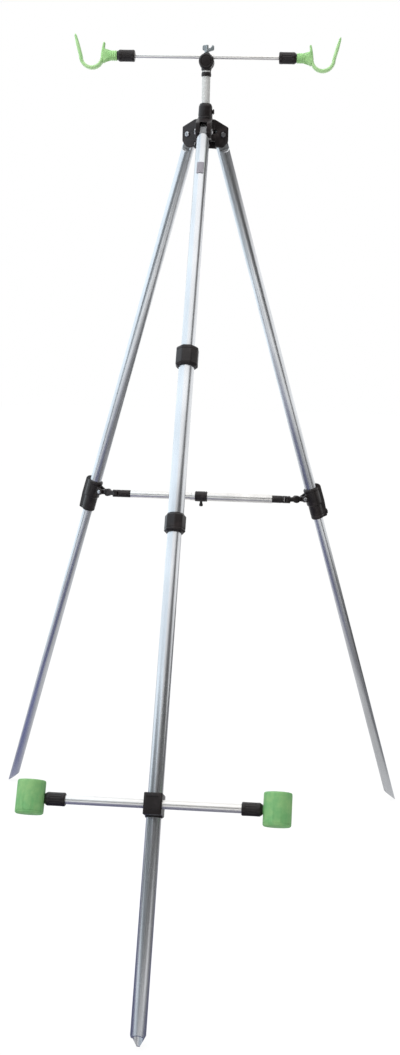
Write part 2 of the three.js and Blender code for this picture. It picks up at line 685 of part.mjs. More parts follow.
// Twist-lock collar: a faceted cap over the wide tube's end, its lip running on the narrow tube
function twistCollar(name, wideEnd, lipSide, turn) {
  const rim = TWIST_DIAMETER / 2;
  const grip = solid(chamferedRod(
    rim, -TWIST_LENGTH / 2, TWIST_LENGTH / 2, TWIST_CHAMFER, TWIST_SIDES,
  ).rotateZ(turn));
  const lipFace = TWIST_LENGTH / 2 - TWIST_LIP;
  const wideBore = solid(rodBetween(MID_DIAMETER / 2 + FIT_GAP, -TWIST_LENGTH / 2 - OVERRUN, lipFace));
  const narrowBore = solid(rodBetween(legRadius + FIT_GAP, -TWIST_LENGTH, TWIST_LENGTH));
  const mesh = meshOf(name, 'black', cut(grip, wideBore, narrowBore));
  if (lipSide < 0) mesh.rotation.x = Math.PI;
  mesh.position.z = -wideEnd - lipSide * (lipFace - FIT_GAP);
  return mesh;
}

// Bare plate on the front of the upper tube, curved to it
function labelPlate() {
  const inner = legRadius + FIT_GAP;
  const outer = inner + LABEL_THICKNESS;
  const ring = solid(tubeBetween(outer, inner, -LABEL_START - LABEL_LENGTH, -LABEL_START));
  const window = solid(boxBetween(
    [-LABEL_WIDTH / 2, -outer - OVERRUN, -LABEL_START - LABEL_LENGTH - OVERRUN],
    [LABEL_WIDTH / 2, 0, -LABEL_START + OVERRUN],
  ));
  return meshOf('blank_label_plate', 'grey', ring.intersect(window));
}

const barOffset = legRadius + LOWER_BAR_DIAMETER / 2 + CLAMP_WEB + FIT_GAP * 2;
const clampInner = legRadius + CLAMP_WALL;
const clampOuter = barOffset + LOWER_BAR_DIAMETER / 2 + CLAMP_WALL;

// Clamp block: one bore down the leg, one across for the lower bar in front of it
function clampBlock() {
  const half = CLAMP_WIDTH / 2;
  const tall = CLAMP_LENGTH / 2;
  const flat = half - CLAMP_CHAMFER;
  const front = -clampOuter + CLAMP_CHAMFER;
  const back = clampInner - CLAMP_CHAMFER;
  const block = solid(slab([
    [-flat, -clampOuter], [flat, -clampOuter], [half, front], [half, back],
    [flat, clampInner], [-flat, clampInner], [-half, back], [-half, front],
  ], -tall, tall));
  const legHole = solid(rodBetween(legRadius + FIT_GAP, -CLAMP_LENGTH, CLAMP_LENGTH));
  const barHole = solid(alongX(rodBetween(
    LOWER_BAR_DIAMETER / 2 + FIT_GAP, -CLAMP_WIDTH, CLAMP_WIDTH,
  )).translate(0, -barOffset, 0));
  const screwHole = solid(alongY(rodBetween(
    KNOB_THREAD_DIAMETER / 2 + THREAD_GAP, 0, clampInner + OVERRUN, SMALL_SIDES,
  )));
  return meshOf('bar_clamp_block', 'black', cut(block, legHole, barHole, screwHole));
}

// A grip screw along +Y: its tip stops short of the tube and its knob stands off the seat
function gripScrew(name, tip, seat, knobDiameter, knobLength) {
  const thread = KNOB_THREAD_DIAMETER / 2;
  const face = seat + FIT_GAP;
  const neck = solid(rodBetween(thread, tip, face + knobLength / 2, SMALL_SIDES));
  const knob = solid(chamferedRod(knobDiameter / 2, face, face + knobLength, KNOB_CHAMFER, GRIP_SIDES));
  const mesh = meshOf(name, 'black', join(neck, knob));
  mesh.rotation.x = -Math.PI / 2;
  return mesh;
}

// Butt cup: open at the top, with a rounded rim and floor edge and a spigot into the bar nut
function buttCup(name, side) {
  const rim = CUP_DIAMETER / 2;
  const bore = rim - CUP_WALL;
  const half = CUP_LENGTH / 2;
  const easing = CUP_ROUND * CUP_ROUND_SHARE;
  const shell = solid(turned([
    [0, -half], [rim - CUP_ROUND, -half], [rim - easing, -half + easing],
    [rim, -half + CUP_ROUND], [rim, half - easing], [rim - easing, half],
    [bore, half], [bore, -half + CUP_FLOOR], [0, -half + CUP_FLOOR],
  ]));
  const spigot = solid(alongX(rodBetween(
    CUP_SPIGOT_DIAMETER / 2, -rim - FIT_GAP - CUP_SPIGOT_LENGTH, -bore - FIT_GAP, SMALL_SIDES,
  )));
  const mesh = meshOf(name, 'green', join(shell, spigot));
  mesh.rotation.z = side > 0 ? 0 : Math.PI;
  mesh.position.x = side * (LOWER_NUT_START + NUT_LENGTH + FIT_GAP + rim);
  return mesh;
}

function lowerBar() {
  const parts = new THREE.Group();
  parts.position.set(0, -barOffset, -CLAMP_STATION);
  const reach = LOWER_NUT_START + NUT_BAR_DEPTH - FIT_GAP;
  const radius = LOWER_BAR_DIAMETER / 2;
  parts.add(meshOf('lower_bar', 'silver', solid(alongX(
    tubeBetween(radius, radius - LOWER_BAR_WALL, -reach, reach),
  ))));
  for (const [word, side] of [['left', -1], ['right', 1]]) {
    parts.add(barNut(
      `lower_nut_${word}`, side, LOWER_NUT_START, LOWER_NUT_DIAMETER, radius, CUP_SPIGOT_DIAMETER / 2, 0,
    ));
    parts.add(buttCup(`butt_cup_${word}`, side));
  }
  return parts;
}

function frontLeg() {
  const { swing, leg } = legFrame(0, FRONT_SPLAY);
  const midRadius = MID_DIAMETER / 2;
  const midBore = midRadius - MID_WALL;
  const upperEnd = MID_TOP + TUBE_OVERLAP;
  const lowerStart = MID_BOTTOM - TUBE_OVERLAP;
  const clampScrew = gripScrew(
    'bar_clamp_screw', legRadius + FIT_GAP, clampInner, CLAMP_KNOB_DIAMETER, CLAMP_KNOB_LENGTH,
  );
  const clamp = new THREE.Group();
  clamp.position.z = -CLAMP_STATION;
  clamp.add(clampBlock(), clampScrew);
  leg.add(
    legPlug('front_leg_plug'),
    frontUpperTube('front_upper_tube', upperEnd),
    labelPlate(),
    guideBush('front_upper_bush', upperEnd, legBore, midBore, 1),
    meshOf('front_mid_tube', 'silver', solid(tubeBetween(midRadius, midBore, -MID_BOTTOM, -MID_TOP))),
    twistCollar('front_collar_upper', MID_TOP, 1, UPPER_TWIST_TURN),
    twistCollar('front_collar_lower', MID_BOTTOM, -1, LOWER_TWIST_TURN),
    guideBush('front_lower_bush', lowerStart, legBore, midBore, -1),
    footTube('front_lower_tube', {
      radius: legRadius, wall: LEG_WALL, start: lowerStart, splay: FRONT_SPLAY,
      tipTurn: FRONT_TIP_TURN, tipLength: FRONT_TIP_LENGTH, tipWidth: FRONT_TIP_WIDTH,
    }),
    clamp,
    lowerBar(),
  );
  return swing;
}

const knobSeat = TEE_HEAD_DIAMETER / 2 + SPINE_PROUD;
const lugStation = TEE_STATION - LUG_RISE;

// Rear leg collar: sleeve and step for the two tubes, a spine outside, a fork lug inside and a knob boss
function teeCollar(name, knobTurn) {
  const head = TEE_HEAD_DIAMETER / 2;
  const rim = TEE_DIAMETER / 2;
  const headEnd = TEE_ABOVE - TEE_HEAD_LENGTH;
  const spineTop = TEE_ABOVE + SPINE_RISE;
  const sleeve = solid(turned([
    [0, -TEE_BELOW], [rim - TEE_CHAMFER, -TEE_BELOW], [rim, -TEE_BELOW + TEE_CHAMFER],
    [rim, headEnd], [head, headEnd + TEE_CHAMFER], [head, TEE_ABOVE - TEE_CHAMFER],
    [head - TEE_CHAMFER, TEE_ABOVE], [0, TEE_ABOVE],
  ]));
  const spineFoot = -TEE_BELOW + TEE_CHAMFER;
  const spineFace = -head - SPINE_PROUD;
  const spine = solid(standingSlab([
    [0, spineFoot], [0, spineTop], [spineFace + SPINE_ROUND, spineTop],
    [spineFace, spineTop - SPINE_ROUND], [spineFace + SPINE_TAPER, spineFoot],
  ], -SPINE_WIDTH / 2, SPINE_WIDTH / 2));
  const plateInner = LINK_THICKNESS / 2 + SLOT_GAP;
  const plateEdge = plateInner + LUG_PLATE;
  const lug = solid(standingSlab([
    [0, -LUG_ROOT], ...roundEnd(LUG_REACH, 0, LUG_RADIUS, -Math.PI / 2, Math.PI / 2, ROUND_STEPS),
    [0, LUG_ROOT],
  ], -plateEdge, plateEdge).translate(0, 0, LUG_RISE));
  const boss = solid(alongY(rodBetween(KNOB_BOSS_DIAMETER / 2, -knobSeat, 0, SMALL_SIDES))
    .translate(0, 0, -KNOB_BELOW).rotateZ(knobTurn));
  const fork = solid(boxBetween(
    [-plateInner, head - FIT_GAP, LUG_RISE - LUG_ROOT - OVERRUN],
    [plateInner, LUG_REACH + LUG_RADIUS + OVERRUN, LUG_RISE + LUG_ROOT + OVERRUN],
  ));
  const upperBore = solid(rodBetween(legRadius + FIT_GAP, -TEE_TUBE_STOP - FIT_GAP, spineTop + OVERRUN));
  const lowerBore = solid(rodBetween(REAR_LOWER_DIAMETER / 2 + FIT_GAP, -TEE_BELOW - OVERRUN, 0));
  const pinHole = solid(alongX(rodBetween(
    LINK_PIN_DIAMETER / 2 + FIT_GAP, -plateEdge - OVERRUN, plateEdge + OVERRUN, SMALL_SIDES,
  )).translate(0, LUG_REACH, LUG_RISE));
  const knobHole = solid(alongY(rodBetween(
    KNOB_THREAD_DIAMETER / 2 + THREAD_GAP, -TEE_DIAMETER, 0, SMALL_SIDES,
  )).translate(0, 0, -KNOB_BELOW).rotateZ(knobTurn));
  const mesh = meshOf(name, 'black', cut(
    join(sleeve, spine, lug, boss), fork, upperBore, lowerBore, pinHole, knobHole,
  ));
  mesh.position.z = -TEE_STATION;
  return mesh;
}

function rearLeg(word, turn, knobTurn) {
  const { swing, leg } = legFrame(turn, REAR_SPLAY);
  const upperEnd = TEE_STATION + TEE_TUBE_STOP;
  const lowerRadius = REAR_LOWER_DIAMETER / 2;
  const lowerBore = lowerRadius - REAR_LOWER_WALL;
  const lowerStart = upperEnd - REAR_OVERLAP;
  const knob = new THREE.Group();
  knob.position.z = -TEE_STATION - KNOB_BELOW;
  knob.rotation.z = knobTurn + Math.PI;
  knob.add(gripScrew(
    `${word}_collar_knob`, lowerRadius + FIT_GAP, knobSeat, KNOB_DIAMETER, KNOB_LENGTH,
  ));
  const pinHalf = LINK_THICKNESS / 2 + SLOT_GAP + LUG_PLATE + FIT_GAP;
  const pinRadius = LINK_PIN_DIAMETER / 2;
  const pinRim = LINK_PIN_HEAD_DIAMETER / 2;
  const pinEnd = pinHalf + LINK_PIN_HEAD_HEIGHT;
  const pin = meshOf(`${word}_link_pin`, 'steel', solid(alongX(turned([
    [0, -pinEnd], [pinRim, -pinEnd], [pinRim, -pinHalf], [pinRadius, -pinHalf],
    [pinRadius, pinHalf], [pinRim, pinHalf], [pinRim, pinEnd], [0, pinEnd],
  ], SMALL_SIDES))));
  pin.position.set(0, LUG_REACH, -lugStation);
  leg.add(
    legPlug(`${word}_leg_plug`),
    rearUpperTube(`${word}_upper_tube`, upperEnd),
    teeCollar(`${word}_leg_collar`, knobTurn),
    pin,
    knob,
    guideBush(`${word}_slide_bush`, lowerStart, lowerBore, legBore, -1),
    footTube(`${word}_lower_tube`, {
      radius: lowerRadius, wall: REAR_LOWER_WALL, start: lowerStart, splay: REAR_SPLAY,
      tipTurn: REAR_TIP_TURN, tipLength: REAR_TIP_LENGTH, tipWidth: REAR_LOWER_DIAMETER,
    }),
  );
  return swing;
}

// Where the brace hangs: the lug pins lie on the rear legs' azimuths, the swivel pins one link further in
const pinReach = PIVOT_RADIUS + lugStation * Math.sin(REAR_SPLAY) - LUG_REACH * Math.cos(REAR_SPLAY);
const braceHeight = -lugStation * Math.cos(REAR_SPLAY) - LUG_REACH * Math.sin(REAR_SPLAY);
const swivelReach = pinReach - LINK_LENGTH;
const swivelX = swivelReach * Math.sin(REAR_TURN);
const swivelY = -swivelReach * Math.cos(REAR_TURN);

// Swivel link: an eye on the lug pin, a tall body and a knuckle on the upright swivel pin
function braceLink(word, turn, pinClearance) {
  const half = LINK_THICKNESS / 2;
  const bodyStart = LINK_BODY_START + LINK_TAPER;
  const bodyEnd = bodyStart + LINK_BODY_FLAT;
  const eye = solid(facingSlab([
    ...roundEnd(0, 0, LINK_RADIUS, Math.PI / 2, (Math.PI * 3) / 2, ROUND_STEPS),
    [bodyStart - LINK_TAPER, -half], [bodyStart, -LINK_BODY_HALF], [bodyEnd, -LINK_BODY_HALF],
    [bodyEnd + LINK_TAPER, -half], [LINK_LENGTH, -half], [LINK_LENGTH, half],
    [bodyEnd + LINK_TAPER, half], [bodyEnd, LINK_BODY_HALF], [bodyStart, LINK_BODY_HALF],
    [bodyStart - LINK_TAPER, half],
  ], -half, half));
  const knuckle = solid(rodBetween(
    LINK_KNUCKLE_RADIUS, -half, half, SMALL_SIDES,
  ).translate(LINK_LENGTH, 0, 0));
  const pinHole = solid(alongY(rodBetween(
    LINK_PIN_DIAMETER / 2 + pinClearance, -LINK_THICKNESS, LINK_THICKNESS, SMALL_SIDES,
  )));
  const swivelHole = solid(rodBetween(
    SWIVEL_PIN_DIAMETER / 2 + FIT_GAP, -LINK_THICKNESS, LINK_THICKNESS, SMALL_SIDES,
  ).translate(LINK_LENGTH, 0, 0));
  const mesh = meshOf(`brace_link_${word}`, 'black', cut(join(eye, knuckle), pinHole, swivelHole));
  mesh.rotation.z = turn + Math.PI / 2;
  mesh.position.set(pinReach * Math.sin(turn), -pinReach * Math.cos(turn), braceHeight);
  return mesh;
}

// Brace end plug along X from the swivel pin towards the middle: forked eye, barrel and spigot in the tube
function bracePlug(word, side, tubeBore) {
  const rim = PLUG_DIAMETER / 2;
  const slotHalf = LINK_THICKNESS / 2 + SLOT_GAP;
  const barrelEnd = PLUG_EYE + PLUG_LENGTH;
  const spigotEnd = barrelEnd + PLUG_SPIGOT;
  const spigot = tubeBore - FIT_GAP;
  const body = solid(turned([
    [0, -PLUG_EYE], [rim - PLUG_CHAMFER, -PLUG_EYE], [rim, -PLUG_EYE + PLUG_CHAMFER], [rim, barrelEnd],
    [spigot, barrelEnd], [spigot, spigotEnd], [0, spigotEnd],
  ]).rotateY(Math.PI / 2));
  const slot = solid(boxBetween(
    [-PLUG_EYE - OVERRUN, -rim - OVERRUN, -slotHalf], [PLUG_THROAT, rim + OVERRUN, slotHalf],
  ));
  const pinHole = solid(rodBetween(
    SWIVEL_PIN_DIAMETER / 2 + FIT_GAP, -PLUG_DIAMETER, PLUG_DIAMETER, SMALL_SIDES,
  ));
  const mesh = meshOf(`brace_plug_${word}`, 'black', cut(body, slot, pinHole));
  mesh.rotation.z = side > 0 ? Math.PI : 0;
  mesh.position.set(side * swivelX, swivelY, braceHeight);
  return mesh;
}

function swivelPin(word, side) {
  const pin = meshOf(`brace_swivel_pin_${word}`, 'steel', solid(rodBetween(
    SWIVEL_PIN_DIAMETER / 2, -PLUG_DIAMETER / 2 + FIT_GAP, PLUG_DIAMETER / 2 - FIT_GAP, SMALL_SIDES,
  )));
  pin.position.set(side * swivelX, swivelY, braceHeight);
  return pin;
}

// Telescoping brace: the thin tube from the left runs into the wide tube, which carries the lock collar
function brace() {
  const parts = new THREE.Group();
  const innerRadius = BRACE_INNER_DIAMETER / 2;
  const outerRadius = BRACE_OUTER_DIAMETER / 2;
  const innerBore = innerRadius - BRACE_INNER_WALL;
  const outerBore = outerRadius - BRACE_OUTER_WALL;
  const tubeEnd = swivelX - PLUG_EYE - PLUG_LENGTH - FIT_GAP;
  const collarHalf = LOCK_COLLAR_LENGTH / 2;
  const nose = -collarHalf - BRACE_NOSE;
  const innerTube = meshOf('brace_inner_tube', 'silver', solid(alongX(
    tubeBetween(innerRadius, innerBore, -tubeEnd, nose + BRACE_OVERLAP),
  )));
  const screwHole = solid(rodBetween(
    BRACE_THREAD_DIAMETER / 2 + THREAD_GAP, -LOCK_COLLAR_DIAMETER, 0, SMALL_SIDES,
  ));
  const outerTube = meshOf('brace_outer_tube', 'silver', cut(solid(alongX(
    tubeBetween(outerRadius, outerBore, nose, tubeEnd),
  )), screwHole));
  const shell = solid(alongX(chamferedRod(
    LOCK_COLLAR_DIAMETER / 2, -collarHalf, collarHalf, LOCK_COLLAR_CHAMFER, GRIP_SIDES,
  )));
  const tubeBore = solid(alongX(rodBetween(outerRadius + FIT_GAP, -LOCK_COLLAR_LENGTH, LOCK_COLLAR_LENGTH)));
  const collar = meshOf('brace_lock_collar', 'black', cut(shell, tubeBore, screwHole));
  const screwTop = -innerRadius - FIT_GAP;
  const seat = -LOCK_COLLAR_DIAMETER / 2 - FIT_GAP;
  const neckEnd = seat - BRACE_NECK_LENGTH;
  const knobEnd = neckEnd - BRACE_KNOB_LENGTH;
  const thread = BRACE_THREAD_DIAMETER / 2;
  const neck = BRACE_NECK_DIAMETER / 2;
  const knobRim = BRACE_KNOB_DIAMETER / 2;
  const screw = meshOf('brace_lock_screw', 'black', solid(turned([
    [0, knobEnd], [knobRim - BRACE_KNOB_CHAMFER, knobEnd], [knobRim, knobEnd + BRACE_KNOB_CHAMFER],
    [knobRim, neckEnd], [neck, neckEnd], [neck, seat], [thread, seat], [thread, screwTop], [0, screwTop],
  ], SMALL_SIDES)));
  parts.add(innerTube, outerTube, collar, screw);
  parts.position.set(0, swivelY, braceHeight);
  const hung = new THREE.Group();
  hung.add(
    parts,
    braceLink('left', -REAR_TURN, PIVOT_GAP),
    braceLink('right', REAR_TURN, OPEN_PIVOT_GAP),
    bracePlug('left', -1, innerBore),
    bracePlug('right', 1, outerBore),
    swivelPin('left', -1),
    swivelPin('right', 1),
  );
  return hung;
}

const hub = new THREE.Group();
hub.position.z = PIVOT_HEIGHT;
hub.add(
  hubSpider(),
  pivotScrew('front', 0),
  pivotScrew('left', -REAR_TURN),
  pivotScrew('right', REAR_TURN),
  columnLockScrew(),
  ...column(),
  headClamp(),
  wingScrew(),
  topBar(),
  frontLeg(),
  rearLeg('left', -REAR_TURN, LEFT_KNOB_TURN),
  rearLeg('right', REAR_TURN, 0),
  brace(),
);

// The footprint's middle goes to the origin.
const tripod = new THREE.Group();
tripod.name = 'surf_rod_tripod';
tripod.add(hub);
tripod.updateMatrixWorld(true);
const footprint = new THREE.Box3().setFromObject(tripod, true);
hub.position.y = -(footprint.min.y + footprint.max.y) / 2;

export default tripod;
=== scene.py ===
"""Looks of the surf rod tripod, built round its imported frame.

Shapes are made in millimetres in the place where they are turned or cut, and set in the frame in metres.
"""

import json
import math

import bmesh
import bpy
from mathutils import Matrix, Vector

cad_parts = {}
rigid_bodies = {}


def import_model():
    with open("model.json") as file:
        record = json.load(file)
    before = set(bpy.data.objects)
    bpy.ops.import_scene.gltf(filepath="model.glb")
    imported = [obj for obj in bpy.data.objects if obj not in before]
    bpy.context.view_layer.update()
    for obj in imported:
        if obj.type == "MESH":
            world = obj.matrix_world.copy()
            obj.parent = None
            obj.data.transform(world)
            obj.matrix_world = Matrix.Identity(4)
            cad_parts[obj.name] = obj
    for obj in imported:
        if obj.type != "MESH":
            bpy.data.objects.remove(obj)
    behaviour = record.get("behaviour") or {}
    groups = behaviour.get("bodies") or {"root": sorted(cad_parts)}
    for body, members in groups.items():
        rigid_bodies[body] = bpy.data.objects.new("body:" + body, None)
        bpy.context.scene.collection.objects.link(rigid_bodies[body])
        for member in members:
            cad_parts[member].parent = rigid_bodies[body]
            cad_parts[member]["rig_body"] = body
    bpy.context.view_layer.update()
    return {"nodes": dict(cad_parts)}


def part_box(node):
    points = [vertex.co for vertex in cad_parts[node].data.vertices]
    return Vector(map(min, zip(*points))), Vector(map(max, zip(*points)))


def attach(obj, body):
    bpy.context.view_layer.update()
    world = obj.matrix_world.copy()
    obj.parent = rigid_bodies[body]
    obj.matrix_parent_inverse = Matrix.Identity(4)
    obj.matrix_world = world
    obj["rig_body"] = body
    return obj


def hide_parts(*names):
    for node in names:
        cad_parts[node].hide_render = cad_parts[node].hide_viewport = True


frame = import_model()

MM = 0.001
GAP = 0.3
SHARP = 38

# Sides of round shapes, from screws to collars
SMALL, MIDDLE, ROUND, LARGE, GRIP, KNURL = 48, 60, 72, 96, 144, 128

# Radii of the holes that turn up in several pieces
SCREW_HOLE, SWIVEL_HOLE = 2.65, 2.1

# Places


def shift(x=0, y=0, z=0):
    return Matrix.Translation((x, y, z))


def turn(degrees, axis):
    return Matrix.Rotation(math.radians(degrees), 4, axis)


# Shapes are made round Z, or as outlines in X and Y with a thickness along Z. ALONG_X and ALONG_Y lay a
# round one down. STANDING sets an outline in Y and Z, and FACING sets it in X and Z.
ALONG_X = turn(90, "Y")
ALONG_Y = turn(-90, "X")
STANDING = Matrix(((0, 0, 1, 0), (1, 0, 0, 0), (0, 1, 0, 0), (0, 0, 0, 1)))
FACING = Matrix(((1, 0, 0, 0), (0, 0, -1, 0), (0, 1, 0, 0), (0, 0, 0, 1)))

PIVOT_HEIGHT, PIVOT_REACH = 1295, 28
FRONT_SPLAY, REAR_SPLAY, REAR_TURN = 28, 18.7, 120
column_low, column_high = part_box("centre_column")
HUB = shift(y=(column_low.y + column_high.y) / 2 / MM, z=PIVOT_HEIGHT)


def leg_place(degrees, splay):
    """The leg's own frame: -Z runs down the leg and -Y is its outer side."""
    return HUB @ turn(degrees, "Z") @ shift(y=-PIVOT_REACH) @ turn(-splay, "X")


FRONT = leg_place(0, FRONT_SPLAY)
REAR = {"left": leg_place(-REAR_TURN, REAR_SPLAY), "right": leg_place(REAR_TURN, REAR_SPLAY)}

# Shapes


def skin(rings, loop=False):
    """One closed surface through rings of points; a ring of one point closes an end."""
    work = bmesh.new()
    rows = [[work.verts.new(point) for point in around] for around in rings]
    pairs = list(zip(rows, rows[1:])) + ([(rows[-1], rows[0])] if loop else [])
    for near, far in pairs:
        count = max(len(near), len(far))
        for i in range(count):
            j = (i + 1) % count
            corners = [near[i % len(near)], near[j % len(near)], far[j % len(far)], far[i % len(far)]]
            work.faces.new(list(dict.fromkeys(corners)))
    if not loop:
        for row in (rows[0], rows[-1]):
            if len(row) > 2:
                work.faces.new(row)
    bmesh.ops.recalc_face_normals(work, faces=work.faces)
    mesh = bpy.data.meshes.new("shape")
    work.to_mesh(mesh)
    work.free()
    return mesh


def ring(radius, height, sides):
    """Points round Z; the radius is a number or a function of the angle."""
    if not callable(radius) and radius < 1e-6:
        return [(0, 0, height)]
    points = []
    for i in range(sides):
        angle = math.tau * i / sides
        reach = radius(angle) if callable(radius) else radius
        points.append((reach * math.cos(angle), reach * math.sin(angle), height))
    return points


def turned(profile, sides=ROUND):
    """A turned solid from (radius, height) points, on the axis or closed on itself."""
    loop = profile[0] == profile[-1]
    return skin([ring(r, z, sides) for r, z in (profile[:-1] if loop else profile)], loop)


def eased(points, radius, steps=3, closed=False):
    """The same outline with its corners rounded."""
    if radius <= 0:
        return [tuple(point) for point in points]
    made = []
    for i, point in enumerate(points):
        if not closed and i in (0, len(points) - 1):
            made.append(tuple(point))
            continue
        here = Vector(point)
        back, on = Vector(points[i - 1]) - here, Vector(points[(i + 1) % len(points)]) - here
        if back.length < 1e-6 or on.length < 1e-6 or abs(back.normalized().dot(on.normalized())) > 0.9999:
            made.append(tuple(point))
            continue
        reach = min(radius, back.length * 0.45, on.length * 0.45)
        start, end = here + back.normalized() * reach, here + on.normalized() * reach
        for step in range(steps + 1):
            t = step / steps
            made.append(tuple(start * (1 - t) ** 2 + here * 2 * t * (1 - t) + end * t * t))
    return made


def closed_ring(points, radius, steps=3):
    """A tube's or ring's profile with eased corners, closed on itself."""
    made = eased(points, radius, steps, closed=True)
    return made + [made[0]]


def pipe(outer, inner, low, high, ease=0.3, sides=ROUND):
    return turned(closed_ring([(inner, low), (outer, low), (outer, high), (inner, high)], ease), sides)


def rod(radius, low, high, ease=0.4, sides=ROUND):
    return turned(eased([(0, low), (radius, low), (radius, high), (0, high)], ease), sides)


def inset(outline, depth):
    """An anticlockwise outline drawn in by a depth."""
    made = []
    for i, point in enumerate(outline):
        here = Vector(point)
        back, on = here - Vector(outline[i - 1]), Vector(outline[(i + 1) % len(outline)]) - here
        sides = [Vector((-edge.y, edge.x)).normalized() for edge in (back, on)]
        middle = (sides[0] + sides[1]).normalized()
        made.append(here + middle * depth / max(middle.dot(sides[0]), 0.5))
    return made


def slab(outline, low, high, ease=0.6, corner=0, steps=3):
    """An outline pushed along Z between two heights, with rounded rims."""
    points = eased(outline, corner, steps, closed=True) if corner else [tuple(p) for p in outline]
    area = sum(a[0] * b[1] - b[0] * a[1] for a, b in zip(points, points[1:] + points[:1]))
    points = points if area > 0 else points[::-1]
    rings = []
    for share in (1, 0.55, 0.18, 0):
        depth = 1 - math.sqrt(1 - (1 - share) ** 2)
        rings.append((inset(points, ease * share), low + ease * depth))
    rings += [(around, high + low - height) for around, height in reversed(rings)]
    return skin([[(p[0], p[1], height) for p in around] for around, height in rings])


def box(low, high, ease=0):
    outline = [(low[0], low[1]), (high[0], low[1]), (high[0], high[1]), (low[0], high[1])]
    if ease:
        return slab(outline, low[2], high[2], ease, corner=ease)
    return skin([[(x, y, z) for x, y in outline] for z in (low[2], high[2])])


def moved(mesh, place):
    mesh.transform(place)
    return mesh


def combined(operation, base, tools, edge=0):
    """The base joined with or cut by the tools, and the edges left by that rounded."""
    bench = bpy.context.scene.collection
    body = bpy.data.objects.new("body", base)
    bench.objects.link(body)
    others = []
    for tool in tools:
        other = bpy.data.objects.new("tool", tool)
        bench.objects.link(other)
        others.append(other)
        step = body.modifiers.new("step", "BOOLEAN")
        step.operation, step.solver, step.object = operation, "MANIFOLD", other
    if edge:
        soft = body.modifiers.new("soft", "BEVEL")
        soft.width, soft.segments, soft.limit_method = edge, 2, "ANGLE"
        soft.angle_limit = math.radians(SHARP)
        soft.use_clamp_overlap = True
    graph = bpy.context.evaluated_depsgraph_get()
    mesh = bpy.data.meshes.new_from_object(body.evaluated_get(graph))
    for thing in [body, *others]:
        bpy.data.objects.remove(thing)
    return mesh


def joined(base, *tools, edge=0):
    return combined("UNION", base, tools, edge)


def cut(base, *tools, edge=0):
    return combined("DIFFERENCE", base, tools, edge)


def arc(x, y, radius, start, end, steps=14):
    """Points round a centre between two angles in degrees."""
    angles = [math.radians(start + (end - start) * i / steps) for i in range(steps + 1)]
    return [(x + radius * math.cos(a), y + radius * math.sin(a)) for a in angles]


def fluted(radius, depth, count):
    """The radius of a grip with rounded flutes."""
    return lambda angle: radius - depth * (0.5 - 0.5 * math.cos(angle * count)) ** 2


def faceted(flat, count, degrees=0, softness=34):
    """The radius of a many-sided grip with soft corners, its flats that far from the axis."""
    facets = [math.tau * (i + 0.5) / count + math.radians(degrees) for i in range(count)]

    def reach(angle):
        total = sum(max(math.cos(angle - facet), 0) ** softness for facet in facets)
        return flat / total ** (1 / softness)

    return reach


def grip(radius_at, low, high, chamfer, sides=GRIP, ease=0.5):
    """A grip with its own radius round the axis and chamfered rims."""
    line = eased([(chamfer, low), (0, low + chamfer), (0, high - chamfer), (chamfer, high)], ease)
    rings = [ring(lambda a, d=drop: radius_at(a) - d, height, sides) for drop, height in line]
    return skin([ring(0, low, sides)] + rings + [ring(0, high, sides)])


# Finishes


class Value:
    """A shader socket that takes part in sums."""

    def __init__(self, finish, socket):
        self.finish, self.socket = finish, socket

    def maths(self, operation, *values):
        return self.finish.node("Math", {"operation": operation}, *values)

    def __add__(self, other):
        return self.maths("ADD", self, other)

    __radd__ = __add__

    def __mul__(self, other):
        return self.maths("MULTIPLY", self, other)

    __rmul__ = __mul__

    def __sub__(self, other):
        return self.maths("SUBTRACT", self, other)

    def __rsub__(self, other):
        return self.maths("SUBTRACT", other, self)

    def at_least(self, limit):
        return self.maths("MAXIMUM", self, limit)

    def at_most(self, limit):
        return self.maths("MINIMUM", self, limit)

    def part(self, low, high, start=0.0, end=1.0):
        """The value stretched from low..high to start..end and held there."""
        return self.finish.node(
            "MapRange", {"clamp": True, "interpolation_type": "SMOOTHSTEP"}, self, low, high, start, end
        )


